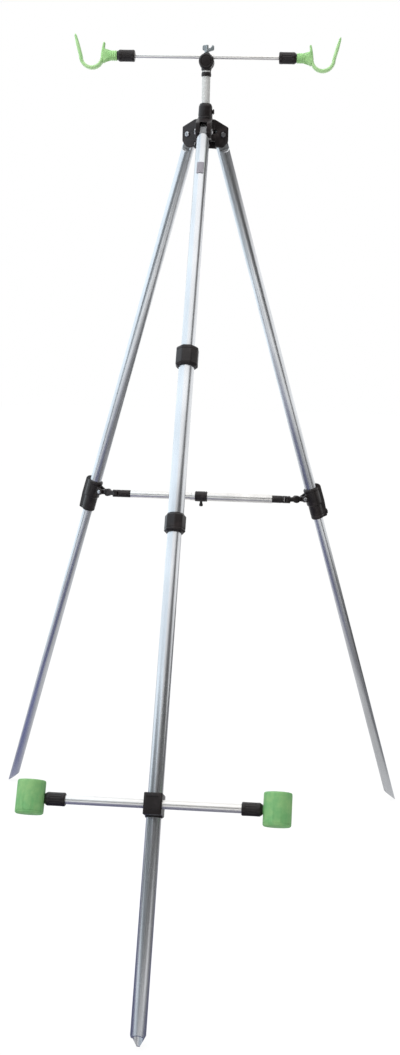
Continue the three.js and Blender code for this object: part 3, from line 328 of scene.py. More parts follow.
class Finish:
    """A material: its nodes are made by node(), and its shader's own sockets are set by dress()."""

    def __init__(self, name, tree=None):
        self.material = None
        if tree is None:
            self.material = bpy.data.materials.new(name)
            self.material.use_nodes = True
            tree = self.material.node_tree
        self.tree = tree
        self.tree.nodes.clear()
        self.output = self.tree.nodes.new("ShaderNodeOutput" + ("Material" if self.material else "World"))

    def node(self, kind, settings=None, *values, output=0, **named):
        made = self.tree.nodes.new("ShaderNode" + kind)
        for key, setting in (settings or {}).items():
            setattr(made, key, setting)
        for key, value in [*enumerate(values), *named.items()]:
            target = made.inputs[key if isinstance(key, int) else key.replace("_", " ")]
            if isinstance(value, Value):
                self.tree.links.new(value.socket, target)
            else:
                target.default_value = value
        return Value(self, made.outputs[output])

    def axes(self, vector):
        """The three parts of a vector."""
        made = self.tree.nodes.new("ShaderNodeSeparateXYZ")
        self.tree.links.new(vector.socket, made.inputs[0])
        return [Value(self, made.outputs[i]) for i in range(3)]

    def show(self, shader):
        self.tree.links.new(shader.socket, self.output.inputs["Surface"])
        return self

    def place(self, stretch=(1, 1, 1)):
        where = self.node("TexCoord", output="Object")
        return self.node("VectorMath", {"operation": "MULTIPLY"}, where, stretch)

    def noise(self, scale, stretch=(1, 1, 1), detail=3.0, roughness=0.5):
        return self.node("TexNoise", None, Vector=self.place(stretch), Scale=scale, Detail=detail,
                         Roughness=roughness)

    def mix(self, share, first, second):
        """A colour between two."""
        made = self.tree.nodes.new("ShaderNodeMix")
        made.data_type = "RGBA"
        for key, value in ((0, share), (6, first), (7, second)):
            if isinstance(value, Value):
                self.tree.links.new(value.socket, made.inputs[key])
            else:
                made.inputs[key].default_value = value
        return Value(self, made.outputs[2])

    def bump(self, height, distance, strength=1.0):
        return self.node("Bump", None, Height=height, Distance=distance, Strength=strength)

    def dress(self, **sockets):
        return self.show(self.node("BsdfPrincipled", None, **sockets))


def colour(red, green, blue):
    """A colour read as 0..255 sRGB numbers, for a shader socket."""
    def linear(level):
        level /= 255
        return level / 12.92 if level <= 0.04045 else ((level + 0.055) / 1.055) ** 2.4
    return (linear(red), linear(green), linear(blue), 1.0)


def drawn_aluminium(name, tone, roughness, metallic=0.85):
    """Tube drawn lengthwise along Z: fine lines, faint scuffs and a satin anodised skin."""
    finish = Finish(name)
    lines = finish.noise(2600, (1, 1, 0.004), detail=2.0)
    cloud = finish.noise(28, (1, 1, 0.35))
    scuff = finish.noise(420, (0.25, 0.25, 1), detail=5.0, roughness=0.7).part(0.62, 0.74)
    shade = cloud.part(0.3, 0.7, 0.0, 0.6) + lines * 0.25
    light, dark = colour(*tone), colour(*[level * 0.9 for level in tone])
    return finish.dress(
        Base_Color=finish.mix(shade, light, dark), Metallic=metallic,
        Roughness=lines * 0.16 + scuff * 0.18 + cloud * 0.06 + (roughness - 0.1),
        Normal=finish.bump(lines + scuff * 0.5, 0.00002, 0.35),
    )


def moulded(name, tone, worn, roughness=0.42, grain=0.000008, coat=0.0):
    """Injection moulded plastic: fine spark-eroded grain and rubbed patches."""
    finish = Finish(name)
    grit = finish.noise(3800, detail=2.0)
    rub = finish.noise(70, detail=5.0).part(0.48, 0.72)
    return finish.dress(
        Base_Color=finish.mix(rub * 0.7 + grit * 0.2, colour(*tone), colour(*worn)),
        Roughness=grit * 0.14 + rub * 0.12 + (roughness - 0.12),
        Normal=finish.bump(grit, grain, 0.5), Coat_Weight=coat, Specular_IOR_Level=0.32,
    )


def plated(name, tone, roughness=0.28):
    """Zinc plated steel: a faint cloudy bloom over small pits."""
    finish = Finish(name)
    bloom = finish.noise(260, detail=4.0)
    pits = finish.noise(2400, detail=2.0)
    return finish.dress(
        Base_Color=finish.mix(bloom, colour(*tone), colour(*[level * 0.82 for level in tone])),
        Metallic=1.0, Roughness=bloom * 0.25 + (roughness - 0.1), Normal=finish.bump(pits, 0.00001, 0.4),
    )


def cup_green():
    """Foamed green plastic: mottled, yellower in the middle of its patches."""
    finish = Finish("cup_green")
    patch = finish.noise(75, (1, 1, 0.7), detail=4.0, roughness=0.6).part(0.3, 0.72)
    fleck = finish.noise(420, detail=3.0).part(0.5, 0.75)
    pore = finish.noise(2600, detail=2.0)
    base = finish.mix(patch, colour(108, 172, 106), colour(138, 188, 120))
    return finish.dress(
        Base_Color=finish.mix(fleck * 0.35, base, colour(124, 182, 118)), Roughness=pore * 0.2 + 0.5,
        Normal=finish.bump(pore * 0.3 + fleck, 0.00004, 0.5),
    )


def rest_green():
    """Pale translucent plastic, milky along the bow, with painted shade: darker where it is thick at the
    flare, standing in for the light that thick plastic lets through less.
    """
    finish = Finish("rest_green")
    cloud = finish.noise(60, detail=3.0)
    grain = finish.noise(2200, detail=2.0)
    outward = finish.axes(finish.node("TexCoord", output="Object"))[0]
    # painted shade: the stem and flare are painted darker than the bow, standing in for less light coming
    # through the thick plastic
    root = 1 - outward.part(0.170, 0.186)
    base = finish.mix(cloud.part(0.3, 0.7), colour(158, 206, 138), colour(172, 212, 150))
    return finish.dress(
        Base_Color=finish.mix(root * 0.5, base, colour(134, 192, 112)), Roughness=grain * 0.16 + 0.4,
        Normal=finish.bump(grain, 0.000004, 0.3), Coat_Weight=0.1,
    )


SILVER = drawn_aluminium("drawn_aluminium", (208, 210, 213), 0.27, metallic=0.94)
BAR_SILVER = drawn_aluminium("bar_aluminium", (232, 230, 227), 0.33)
COLUMN_SILVER = drawn_aluminium("column_aluminium", (206, 206, 204), 0.6, metallic=0.4)
BLACK = moulded("black_plastic", (25, 20, 20), (46, 39, 39))
GREY = moulded("grey_plastic", (122, 124, 126), (140, 140, 142), roughness=0.5)
PLATE = moulded("bare_plate", (142, 138, 146), (158, 156, 162), roughness=0.42, coat=0.1)
STEEL = plated("plated_steel", (186, 186, 188))
ZINC = plated("pale_zinc", (168, 174, 176), 0.4)
PALE_GREEN = rest_green()
GREEN = cup_green()


def piece(name, mesh, place, finish, *nodes, smooth=42):
    """Sets a shape in the frame, in place of the CAD nodes that it stands for."""
    mesh.transform(Matrix.Scale(MM, 4))
    mesh.name = name
    mesh.materials.clear()
    mesh.materials.append(finish.material)
    mesh.shade_smooth()
    mesh.set_sharp_from_angle(angle=math.radians(smooth))
    made = bpy.data.objects.new(name, mesh)
    bpy.context.scene.collection.objects.link(made)
    here = place.copy()
    here.translation = place.translation * MM
    made.matrix_world = here
    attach(made, frame["nodes"][nodes[0]]["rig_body"])
    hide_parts(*nodes)
    return made


def keep(node, finish):
    """A CAD node that shows as it is, in its own finish."""
    mesh = frame["nodes"][node].data
    mesh.materials.clear()
    mesh.materials.append(finish.material)


# Hub

PLATE_INNER, PLATE_OUTER = 6.3, 13.1
COLLAR_RADIUS, COLLAR_TOP, HUB_ROOF = 12.6, 50, 15
COLUMN_RADIUS, LOCK_HEIGHT = 7, 37


def hub_spider():
    """Three pairs of ears for the legs, under the collar that the column slides in."""
    def ears(degrees, flank, bottom):
        rim = [(0, -bottom), (-30, -bottom), (-39, -flank), (-39, 13), (-13, 24), (2, 24), (2, -bottom)]
        return moved(slab(rim, -PLATE_OUTER, PLATE_OUTER, 0.8, corner=2), turn(degrees, "Z") @ STANDING)

    arms = [ears(0, 3, 11), ears(-REAR_TURN, 11, 21), ears(REAR_TURN, 11, 21)]
    collar = turned(eased([
        (0, HUB_ROOF), (COLLAR_RADIUS, HUB_ROOF), (COLLAR_RADIUS, 27.5), (COLLAR_RADIUS - 0.6, 28.1),
        (COLLAR_RADIUS - 0.6, 28.9), (COLLAR_RADIUS - 0.1, 29.5), (COLLAR_RADIUS - 1, COLLAR_TOP - 4.5),
        (COLLAR_RADIUS - 3.2, COLLAR_TOP), (0, COLLAR_TOP),
    ], 0.8))
    tools = []
    for angle in (0, -REAR_TURN, REAR_TURN):
        tools.append(moved(box((-PLATE_INNER, -60, -40), (PLATE_INNER, -3, HUB_ROOF)), turn(angle, "Z")))
        tools.append(moved(rod(2.8, -30, 30, 0), turn(angle, "Z") @ shift(y=-PIVOT_REACH) @ ALONG_X))
    for angle in (-REAR_TURN, REAR_TURN):
        tools.append(moved(rod(3.5, -30, 30, 0), turn(angle, "Z") @ shift(y=-13.5, z=4) @ ALONG_X))
    tools.append(rod(COLUMN_RADIUS + GAP, -40, 60, 0))
    tools.append(rod(9, -40, HUB_ROOF, 0))
    tools.append(rod(19, -40, -12, 0))
    tools.append(moved(rod(SCREW_HOLE, 0, 30, 0), shift(z=LOCK_HEIGHT) @ ALONG_X))
    body = cut(joined(collar, *arms), *tools, edge=0.5)
    piece("hub", body, HUB, BLACK, "hub_spider")


def cross_recess(depth, span, width):
    """The cutter of a cross recess, pointing down from z = 0."""
    return [box((-span, -width, -depth), (span, width, 2)), box((-width, -span, -depth), (width, span, 2))]


def pivot_screw(word, degrees):
    """A domed screw through a pair of ears, with its nut."""
    face, rim, thread = PLATE_OUTER + GAP, 4.5, 2.5
    top = face + 2.4
    dome = turned(eased([
        (0, top), (rim * 0.6, top), (rim, top - 1.2), (rim, face), (thread, face), (thread, 0), (0, 0),
    ], 0.6))
    dome = cut(dome, *[moved(blade, shift(z=top)) for blade in cross_recess(1.1, 2.0, 0.45)], edge=0.12)
    hexagon = faceted(3.9, 6, softness=60)
    nut = skin([
        ring(lambda a: hexagon(a) - 0.5, -top, ROUND),
        ring(hexagon, 0.5 - top, ROUND),
        ring(hexagon, -face, ROUND),
    ])
    body = joined(dome, nut, rod(thread, -top, 0.5, 0.3))
    place = HUB @ turn(degrees, "Z") @ shift(y=-PIVOT_REACH) @ ALONG_X
    piece(f"{word}_pivot", body, place, STEEL, f"{word}_pivot_screw")


def column_lock():
    knob = grip(fluted(4.5, 0.35, 16), 12.45, 15.2, 1.2, sides=KNURL, ease=0.8)
    stem = rod(2.5, COLUMN_RADIUS + GAP, 14, 0.3, 40)
    piece("column_lock", joined(knob, stem), HUB @ shift(z=LOCK_HEIGHT) @ ALONG_X, BLACK, "column_lock_screw")


def column():
    tube = pipe(COLUMN_RADIUS, COLUMN_RADIUS - 1.5, -14, 106, 0.4)
    piece("column", tube, HUB, COLUMN_SILVER, "centre_column")
    keep("column_stop_plug", BLACK)


# Head

HEAD_HEIGHT, BAR_HEIGHT, BAR_RADIUS = 118, 126, 3.75


def head():
    """The grooved drum and its neck on the column, with the crossbar's hole and the wing screw's seat."""
    drum = moved(turned(eased([
        (0, -11), (7.6, -11), (8.0, -10.2), (8.9, -10.2), (9.4, -11), (10.3, -11), (12.9, -8.4), (12.9, -2.2),
        (12.3, -1.6), (12.3, 1.6), (12.9, 2.2), (12.9, 8.4), (10.3, 11), (9.4, 11), (8.9, 10.2), (8.0, 10.2),
        (7.6, 11), (0, 11),
    ], 0.5)), shift(z=HEAD_HEIGHT) @ ALONG_Y)
    neck = turned(eased([
        (0, 94), (7.9, 94), (8.5, 94.8), (8.5, 98.8), (8, 99.6), (8, 104), (8.8, 105), (8.8, 108), (0, 108),
    ], 0.5))
    slot = box((-12, -12, 100.6), (12, 2, 103.4))
    seat = rod(5.4, 124, 132.05, 0.4)
    bar_hole = moved(rod(BAR_RADIUS + GAP, -30, 30, 0), shift(z=BAR_HEIGHT) @ ALONG_X)
    body = cut(
        joined(drum, neck, seat), rod(COLUMN_RADIUS + GAP, 80, 110, 0), bar_hole,
        rod(SCREW_HOLE, BAR_HEIGHT, 150, 0), slot, edge=0.35,
    )
    piece("head", body, HUB, BLACK, "head_clamp")


def wing_screw():
    tip, seat, top, thread = 130.05, 132.3, 136.3, 2.5
    stem = turned(eased([
        (0, tip), (thread, tip), (thread, seat), (4, seat), (4, top), (2.9, top + 1), (2.6, top + 9),
        (0, top + 9),
    ], 0.5), SMALL)
    wing = [(x, top + rise) for x, rise in (
        (-7.5, 0.6), (3.5, -2), (12.5, 0.6), (12.5, 7.2), (10.6, 9), (9, 8.6),
        (7, 4.6), (3.5, 4), (0, 4.6), (-2.6, 8.6), (-5, 9), (-7.5, 7.2),
    )]
    blade = moved(slab(wing, -1.25, 1.25, 0.55, corner=1.6), FACING)
    piece("wing_screw", joined(stem, blade, edge=0.2), HUB, ZINC, "head_wing_screw")


# Crossbar, end nuts and rod rests

NUT_LENGTH, SPIGOT_RADIUS = 30, 6
TOP_NUT_START, LOWER_NUT_START = 124, 126
SQUARENESS = 0.7


def bar_nut(name, side, start, bar_radius, place, node):
    """A bar's end nut: plain rims, flutes between them, and bores for the bar and for a spigot."""
    rim, waist, end = 9.75, 9.3, start + NUT_LENGTH
    outline = [
        (8.7, start), (rim, start + 1.1), (rim, start + 5), (waist, start + 5.6),
        (waist, end - 8.4), (rim, end - 7.8), (rim, end - 4), (7, end),
    ]
    flutes = fluted(0, 0.5, 16)
    rings = []
    for radius, height in eased(outline, 0.8):
        share = 1 if start + 5.4 < height < end - 8.2 else 0
        rings.append(ring(lambda a, r=radius, s=share: r + s * (flutes(a) + 0.35), height, KNURL))
    spigot_bore, bar_bore = SPIGOT_RADIUS + GAP, bar_radius + GAP
    rings += [ring(spigot_bore, height, KNURL) for height in (end, start + 18)]
    rings += [ring(bar_bore, height, KNURL) for height in (start + 16, start)]
    piece(name, skin(rings, loop=True), place @ turn(90 * side, "Y"), BLACK, node)


def band(path, half_widths, half_depths, points=28):
    """A rounded band swept along a path of (outward, up) points."""
    rings = []
    for i, (x, z) in enumerate(path):
        ahead, behind = Vector(path[min(i + 1, len(path) - 1)]), Vector(path[max(i - 1, 0)])
        run = (ahead - behind).normalized()
        side = Vector((-run.y, run.x))
        around = []
        for k in range(points):
            a = math.tau * k / points
            across = half_widths[i] * math.copysign(abs(math.cos(a)) ** SQUARENESS, math.cos(a))
            deep = half_depths[i] * math.copysign(abs(math.sin(a)) ** SQUARENESS, math.sin(a))
            around.append((x + side.x * across, deep, z + side.y * across))
        rings.append(around)
    return skin(rings)


def smooth_path(points, count):
    """A curve through the points, resampled."""
    made, last = [], len(points) - 1
    for i in range(last):
        before, a, b, after = (Vector(points[max(min(j, last), 0)]) for j in range(i - 1, i + 3))
        for k in range(count):
            t = k / count
            made.append(0.5 * (2 * a + (b - before) * t + (2 * before - 5 * a + 4 * b - after) * t * t
                               + (3 * a - before - 3 * b + after) * t ** 3))
    return made + [Vector(points[-1])]


REST_ROOT, BOSS_END, FLARE_END = 154.3, 168.3, 176.3
BOSS_RADIUS, THREAD_PITCH, THREAD_DEPTH = 7.7, 3.5, 0.8


def rest_bow():
    """The U of a rod rest: a strip that narrows along its short inner prong and its long outer arm."""
    inner, curve, rounding, blunt = 179.55, 19, 1.6, 0.18
    bow = arc(inner + curve, -1, curve, 180, 360, 16)
    line = smooth_path([(inner - 3, 22), (inner - 1.4, 12), *bow, (inner + 43, 17), (inner + 48, 35)], 4)
    total = len(line) - 1
    widths, depths = [], []
    for i, point in enumerate(line):
        near = (point - line[0 if i < total / 2 else -1]).length
        tip = math.sqrt(max(0.0, 1 - max(0, 1 - near / rounding) ** 2)) if near < rounding else 1
        widths.append(3.0 * min(1, 0.54 + 0.46 * near / 18) * max(tip, blunt))
        depths.append(7.0 * min(1, 0.6 + 0.4 * near / 26) * max(tip, blunt))
    return band([tuple(p) for p in line], widths, depths)


def rest_thread():
    """The spigot and the threaded boss of a rod rest, whose thread fades at both ends."""
    steps, fading = 56, 5
    rings = [ring(radius, REST_ROOT - below, ROUND) for radius, below in (
        (0, 9), (5.2, 9), (SPIGOT_RADIUS, 8.2), (SPIGOT_RADIUS, 0),
    )]
    for k in range(steps + 1):
        height = REST_ROOT + (BOSS_END - REST_ROOT) * k / steps
        fade = min(1, k / fading, (steps - k) / fading)

        def radius(angle, z=height, f=fade):
            phase = ((z - REST_ROOT) / THREAD_PITCH - angle / math.tau) % 1
            return BOSS_RADIUS + THREAD_DEPTH * f * (0.5 - 0.5 * math.cos(math.tau * phase))

        rings.append(ring(radius, height, ROUND))
    return skin(rings + [ring(0, BOSS_END, ROUND)])


def rod_rest(word, side):
    """A bow on a flare with two webs, a threaded boss and a spigot that goes into the bar nut."""
    flare = turned(eased([
        (0, BOSS_END - 1), (BOSS_RADIUS, BOSS_END - 1), (BOSS_RADIUS + 0.2, BOSS_END + 0.5),
        (9.4, BOSS_END + 4), (12.5, FLARE_END + 0.6), (12.5, FLARE_END + 2), (0, FLARE_END + 2),
    ], 1.2))
    flare = combined("INTERSECT", flare, [box((-12.4, -6.9, 160), (12.4, 6.9, 190), 1.5)])
    webs = moved(slab([
        (-11.5, FLARE_END + 0.5), (-7.4, BOSS_END - 5), (7.4, BOSS_END - 5), (11.5, FLARE_END + 0.5),
    ], -1.6, 1.6, 0.6, corner=1), FACING)
    stem = moved(joined(rest_thread(), flare, webs), ALONG_X)
    body = joined(rest_bow(), stem, edge=0.25)
    place = HUB @ turn(0 if side > 0 else 180, "Z") @ shift(z=BAR_HEIGHT)
    piece(f"rest_{word}", body, place, PALE_GREEN, f"rod_rest_{word}", smooth=50)


def top_bar():
    place, end = HUB @ shift(z=BAR_HEIGHT), TOP_NUT_START + 15.7
    piece("crossbar", rod(BAR_RADIUS, -end, end, 0.6, SMALL), place @ ALONG_X, BAR_SILVER, "top_crossbar")
    for word, side in (("left", -1), ("right", 1)):
        bar_nut(f"crossbar_nut_{word}", side, TOP_NUT_START, BAR_RADIUS, place, f"top_nut_{word}")
        rod_rest(word, side)


# Leg tubes

LEG, MID, LOWER = 11, 12.5, 9
LEG_WALL, THIN_WALL = 1.5, 1.2
PLUG_HALF, PLUG_RADIUS = 5.8, 9.2
MID_START, MID_END = 417, 717


def leg_plug(word, place):
    outline = [*arc(0, 0, 8.5, 0, 180), (-8.5, -24), (8.5, -24)]
    tongue = moved(slab(outline, -PLUG_HALF, PLUG_HALF, 0.6), STANDING)
    room = joined(rod(PLUG_RADIUS, -45, -8.7, 0), box((-PLUG_HALF, -14, -9), (PLUG_HALF, 14, 14)))
    tongue = combined("INTERSECT", tongue, [room])
    body = joined(tongue, rod(PLUG_RADIUS, -45, -24, 0.5))
    body = cut(body, moved(rod(3, -20, 20, 0), ALONG_X), edge=0.3)
    piece(f"{word}_plug", body, place, GREY, f"{word}_leg_plug")


def front_upper_tube(end):
    """The front leg's upper tube, its top cut to an arch."""
    above = slab([*arc(0, -22, LEG, 0, 180, 40), (-20, -22), (-20, 0), (20, 0), (20, -22)], -30, 30, 0)
    body = cut(pipe(LEG, LEG - LEG_WALL, -end, -11, 0.35, LARGE), moved(above, FACING), edge=0.25)
    piece("front_upper", body, FRONT, SILVER, "front_upper_tube")


def front_mid_tube():
    tube = pipe(MID, MID - THIN_WALL, -MID_END, -MID_START, 0.35, LARGE)
    piece("front_mid", tube, FRONT, SILVER, "front_mid_tube")


def upper_tube(word, end, place):
    """A rear leg's upper tube, its top cut to a narrow arched tongue."""
    arch = arc(0, -14.8, PLUG_HALF, 0, 64, 8)

    def cheek(sign):
        outline = [*arch[::-1], (PLUG_HALF, -24), (20, -38.2), (20, 0), (arch[-1][0], 0)]
        return moved(slab([(sign * x, z) for x, z in outline], -30, 30, 0), FACING)

    body = cut(pipe(LEG, LEG - LEG_WALL, -end, -9, 0.35, LARGE), cheek(1), cheek(-1), edge=0.2)
    piece(f"{word}_upper", body, place, SILVER, f"{word}_upper_tube")


def foot_tube(word, radius, wall, start, splay, side, length, place):
    """The lowest tube, cut on a slant to a tip on its inner side, 1, or its outer side, -1."""
    tip = (PIVOT_HEIGHT - side * radius * math.sin(math.radians(splay))) / math.cos(math.radians(splay))
    slope = length / (radius * 2)
    far = radius + 6
    outline = [(side * far, -tip - 6 * slope), (-side * far, -tip + (radius + far) * slope),
               (-side * far, -tip - length), (side * far, -tip - length)]
    tools = [moved(slab(outline, -far, far, 0), STANDING)]
    if side > 0:
        for hand in (1, -1):
            flank = [(hand * 2, -tip), (hand * radius, -tip + length), (hand * far, -tip + length),
                     (hand * far, -tip - 5), (hand * 2, -tip - 5)]
            tools.append(moved(slab(flank, -far, far, 0), FACING))
    body = cut(pipe(radius, radius - wall, -tip, -start, 0.3, LARGE), *tools, edge=0.15)
    piece(f"{word}_lower", body, place, SILVER, f"{word}_lower_tube")


def twist_collar(name, wide_end, lip_side, degrees, flat, half, node):
    """An eight-sided collar on the end of the wide tube, its lip closing on the narrower tube."""
    lip_face, thinnest = 9.5, MID + 0.9
    facet = faceted(flat, 8, degrees)
    line = eased([
        (5.2, -half), (3, -half + 0.4), (0.6, -half + 2.9), (0, -half + 3.6), (0, 8.6), (0.5, 9.1),
        (0.5, 9.9), (0, 10.4), (0, half - 2.6), (2.4, half - 0.3), (4, half),
    ], 0.7)
    rings = [ring(MID + GAP, -half, GRIP)]
    rings += [ring(lambda a, d=drop: max(facet(a) - d, thinnest), height, GRIP) for drop, height in line]
    rings += [ring(LEG + GAP, height, GRIP) for height in (half, lip_face)]
    rings += [ring(MID + GAP, lip_face, GRIP)]
    place = FRONT @ shift(z=-wide_end - lip_side * (lip_face - GAP)) @ turn(180 if lip_side < 0 else 0, "X")
    piece(name, skin(rings, loop=True), place, BLACK, node)


def label_plate():
    """A thin bare plate that follows the front tube's round."""
    sleeve = pipe(LEG + GAP + 0.6, LEG + GAP, -89, -68, 0.15, 120)
    window = moved(slab([(-6, -89.5), (6, -89.5), (6, -67.5), (-6, -67.5)], 0, 20, 0.1, corner=1.2), FACING)
    plate = combined("INTERSECT", sleeve, [window])
    piece("blank_plate", plate, FRONT, PLATE, "blank_label_plate")


BAR_OFFSET, CLAMP_INNER, CLAMP_OUTER, CLAMP_STATION = 20.1, 15.5, 31.1, 1136
CLAMP_HALF, LOWER_BAR_RADIUS, CUP_REACH = 13.3, 6.5, 176.8


def clamp():
    """The block that holds the lower bar on the front leg, and its knob."""
    outline = [
        (-CLAMP_HALF, -CLAMP_OUTER), (CLAMP_HALF, -CLAMP_OUTER), (CLAMP_HALF, CLAMP_INNER),
        (-CLAMP_HALF, CLAMP_INNER),
    ]
    block = slab(outline, -15.4, 15.6, 1.2, corner=2.2)
    lip = rod(12.9, -17.5, 0, 0.8)
    ridges = [
        box((-9, -CLAMP_OUTER - 0.01, z - 0.5), (9, -CLAMP_OUTER + 0.5, z + 0.5)) for z in (-9, 9.5)
    ]
    bar_hole = moved(rod(LOWER_BAR_RADIUS + GAP, -40, 40, 0), shift(y=-BAR_OFFSET) @ ALONG_X)
    body = cut(
        joined(block, lip), rod(LEG + GAP, -40, 40, 0), bar_hole,
        moved(rod(SCREW_HOLE, 0, 30, 0), ALONG_Y), *ridges, edge=0.45,
    )
    piece("bar_clamp", body, FRONT @ shift(z=-CLAMP_STATION), BLACK, "bar_clamp_block")
    knob = knob_along_y(11.3, 15.8, 8, 12, 9)
    piece("bar_clamp_knob", knob, FRONT @ shift(z=-CLAMP_STATION) @ ALONG_Y, BLACK, "bar_clamp_screw")


def knob_along_y(tip, face, radius, length, flutes):
    """A grip knob on its screw, along Z from its tip, with a shallow dish in its end."""
    neck, thread, top = radius * 0.72, 2.5, face + length
    shank = turned(eased([
        (0, tip), (thread, tip), (thread, face), (neck, face), (neck, face + 1.2), (0, face + 1.2),
    ], 0.3), MIDDLE)
    knob = grip(fluted(radius, radius * 0.13, flutes), face + 0.9, top, 1.2, ease=0.6)
    dish = turned([(0, top - 0.6), (radius * 0.5, top - 0.2), (radius * 0.58, top + 1), (0, top + 1)], MIDDLE)
    return cut(joined(shank, knob), dish, edge=0.2)


def butt_cup(word, side):
    """A cup for a rod butt on the spigot that goes into the lower bar nut."""
    outer, bore = 20.45, 17.3
    place = FRONT @ shift(x=side * CUP_REACH, y=-BAR_OFFSET, z=-CLAMP_STATION)
    shell = turned(eased([
        (0, -23), (17.2, -23), (18.6, -22.6), (20.2, -20.9), (outer, -19), (outer, 22.4), (19.9, 24.4),
        (18.9, 25), (17.9, 24.9), (bore, 24.2), (bore, -16.5), (15.5, -18.5), (0, -18.5),
    ], 0.9), LARGE)
    seam = pipe(outer + 1.05, outer - 0.35, -18.6, -18, 0, LARGE)
    spigot = moved(rod(SPIGOT_RADIUS, -29.8, -17.7, 0.5, SMALL), ALONG_X)
    body = cut(joined(shell, spigot), seam, edge=0.25)
    piece(f"cup_{word}", body, place @ turn(0 if side > 0 else 180, "Z"), GREEN, f"butt_cup_{word}")


def lower_bar():
    place, end = FRONT @ shift(y=-BAR_OFFSET, z=-CLAMP_STATION), LOWER_NUT_START + 15.7
    tube = pipe(LOWER_BAR_RADIUS, LOWER_BAR_RADIUS - THIN_WALL, -end, end, 0.3, MIDDLE)
    piece("lower_bar", tube, place @ ALONG_X, BAR_SILVER, "lower_bar")
    for word, side in (("left", -1), ("right", 1)):
        node = f"lower_nut_{word}"
        bar_nut(f"lower_bar_nut_{word}", side, LOWER_NUT_START, LOWER_BAR_RADIUS, place, node)
        butt_cup(word, side)


# Rear leg collars

COLLAR_STATION, LUG_REACH, LUG_RISE, LUG_HALF = 690, 20.5, 15, 8


def leg_collar(word, knob_turn):
    """A rear leg's collar with its spine and its forked lug, and with its knob and the link's pin."""
    sleeve = turned(eased([
        (0, -32), (11, -32), (12.5, -30), (12.5, -26), (12.1, -25.4), (12.1, -24.2), (12.5, -23.6),
        (12.5, -4), (14.5, -2), (14.5, 22), (14, 22.7), (14, 24.3), (14.5, 25), (14.5, 28), (12.5, 30),
        (0, 30),
    ], 0.7))
    side_view = [(0, -33), (0, 35), (-14.5, 35), (-19.5, 30), (-20, -2), (-18, -33)]
    spine = moved(slab(side_view, -7, 7, 1.8, corner=2.5), STANDING)
    tongue = [(0, -11), *arc(LUG_REACH, 0, 6, -90, 90), (0, 11)]
    lug = moved(slab(tongue, -LUG_HALF, LUG_HALF, 0.8), shift(z=LUG_RISE) @ STANDING)
    knob_axis = turn(knob_turn, "Z") @ shift(z=-25) @ turn(180, "Z") @ ALONG_Y
    pin_axis = shift(y=LUG_REACH, z=LUG_RISE) @ ALONG_X
    boss_face, knob_radius = 15.4, 6.5
    boss = turned(eased([(0, 0), (6.4, 0), (5.6, 13.5), (5.2, boss_face), (0, boss_face)], 0.4), MIDDLE)
    fork = box((-4.4, 14.2, -6), (4.4, 40, 36))
    body = cut(
        joined(sleeve, spine, lug, moved(boss, knob_axis)), fork,
        rod(LEG + GAP, -18.3, 50, 0), rod(LOWER + GAP, -40, 0, 0), moved(rod(2.3, -20, 20, 0), pin_axis),
        moved(rod(SCREW_HOLE, 0, 30, 0), knob_axis),
        moved(rod(knob_radius + 0.7, boss_face + 0.15, 30, 0), knob_axis), edge=0.4,
    )
    place = REAR[word] @ shift(z=-COLLAR_STATION)
    piece(f"{word}_collar", body, place, BLACK, f"{word}_leg_collar")
    knob = knob_along_y(LOWER + GAP, boss_face + GAP, knob_radius, 6, 8)
    piece(f"{word}_knob", knob, place @ knob_axis, BLACK, f"{word}_collar_knob")
    face = LUG_HALF + GAP
    half = [(2, face), (4, face), (4, face + 0.9), (2.6, face + 1.8), (0, face + 1.8)]
    pin = turned(eased([(r, -z) for r, z in half[::-1]] + half, 0.4), SMALL)
    dimple = turned([(0, -face - 1.1), (1.2, -face - 1.4), (1.5, -face - 3), (0, -face - 3)], 36)
    piece(f"{word}_pin", cut(pin, dimple), place @ pin_axis, STEEL, f"{word}_link_pin")


# Brace between the rear legs

LINK_LENGTH = 35
PLUG_SHOULDER = 28.5
INNER_BORE, OUTER_BORE = 5.9, 7.2
LINK_HOLE, TIGHT_PIN_GAP, OPEN_PIN_GAP = 2, 0.5, 1.2

# Where the links meet the collars' lugs and the brace, seen from the hub
LUG_STATION = COLLAR_STATION - LUG_RISE
SPLAY_SIN, SPLAY_COS = math.sin(math.radians(REAR_SPLAY)), math.cos(math.radians(REAR_SPLAY))
PIN_REACH = PIVOT_REACH + LUG_STATION * SPLAY_SIN - LUG_REACH * SPLAY_COS
BRACE_HEIGHT = -LUG_STATION * SPLAY_COS - LUG_REACH * SPLAY_SIN
SWIVEL_REACH = PIN_REACH - LINK_LENGTH
SWIVEL_X = SWIVEL_REACH * math.sin(math.radians(REAR_TURN))
BRACE = HUB @ shift(y=-SWIVEL_REACH * math.cos(math.radians(REAR_TURN)), z=BRACE_HEIGHT)


def brace_link(word, degrees, pin_gap):
    """The link from a rear collar's lug to the brace's swivel pin."""
    flank = [(9, 4), (13, 7), (18, 7), (22, 4), (LINK_LENGTH, 4)]
    outline = [*arc(0, 0, 5.2, 90, 270), *[(x, -z) for x, z in flank], *flank[::-1]]
    link = moved(slab(outline, -4, 4, 0.7, corner=1.2), FACING)
    swivel = shift(x=LINK_LENGTH)
    pockets = [box((12.6, y - 0.01, -3.6), (18.4, y + 0.8, 3.6)) for y in (-4, 3.21)]
    body = cut(
        joined(link, moved(rod(5.6, -4, 4, 0.5, SMALL), swivel)),
        moved(rod(LINK_HOLE + pin_gap, -20, 20, 0), ALONG_Y),
        moved(rod(SWIVEL_HOLE, -20, 20, 0), swivel), *pockets, edge=0.3,
    )
    angle = math.radians(degrees)
    place = HUB @ shift(PIN_REACH * math.sin(angle), -PIN_REACH * math.cos(angle), BRACE_HEIGHT)
    piece(f"link_{word}", body, place @ turn(degrees + 90, "Z"), BLACK, f"brace_link_{word}")


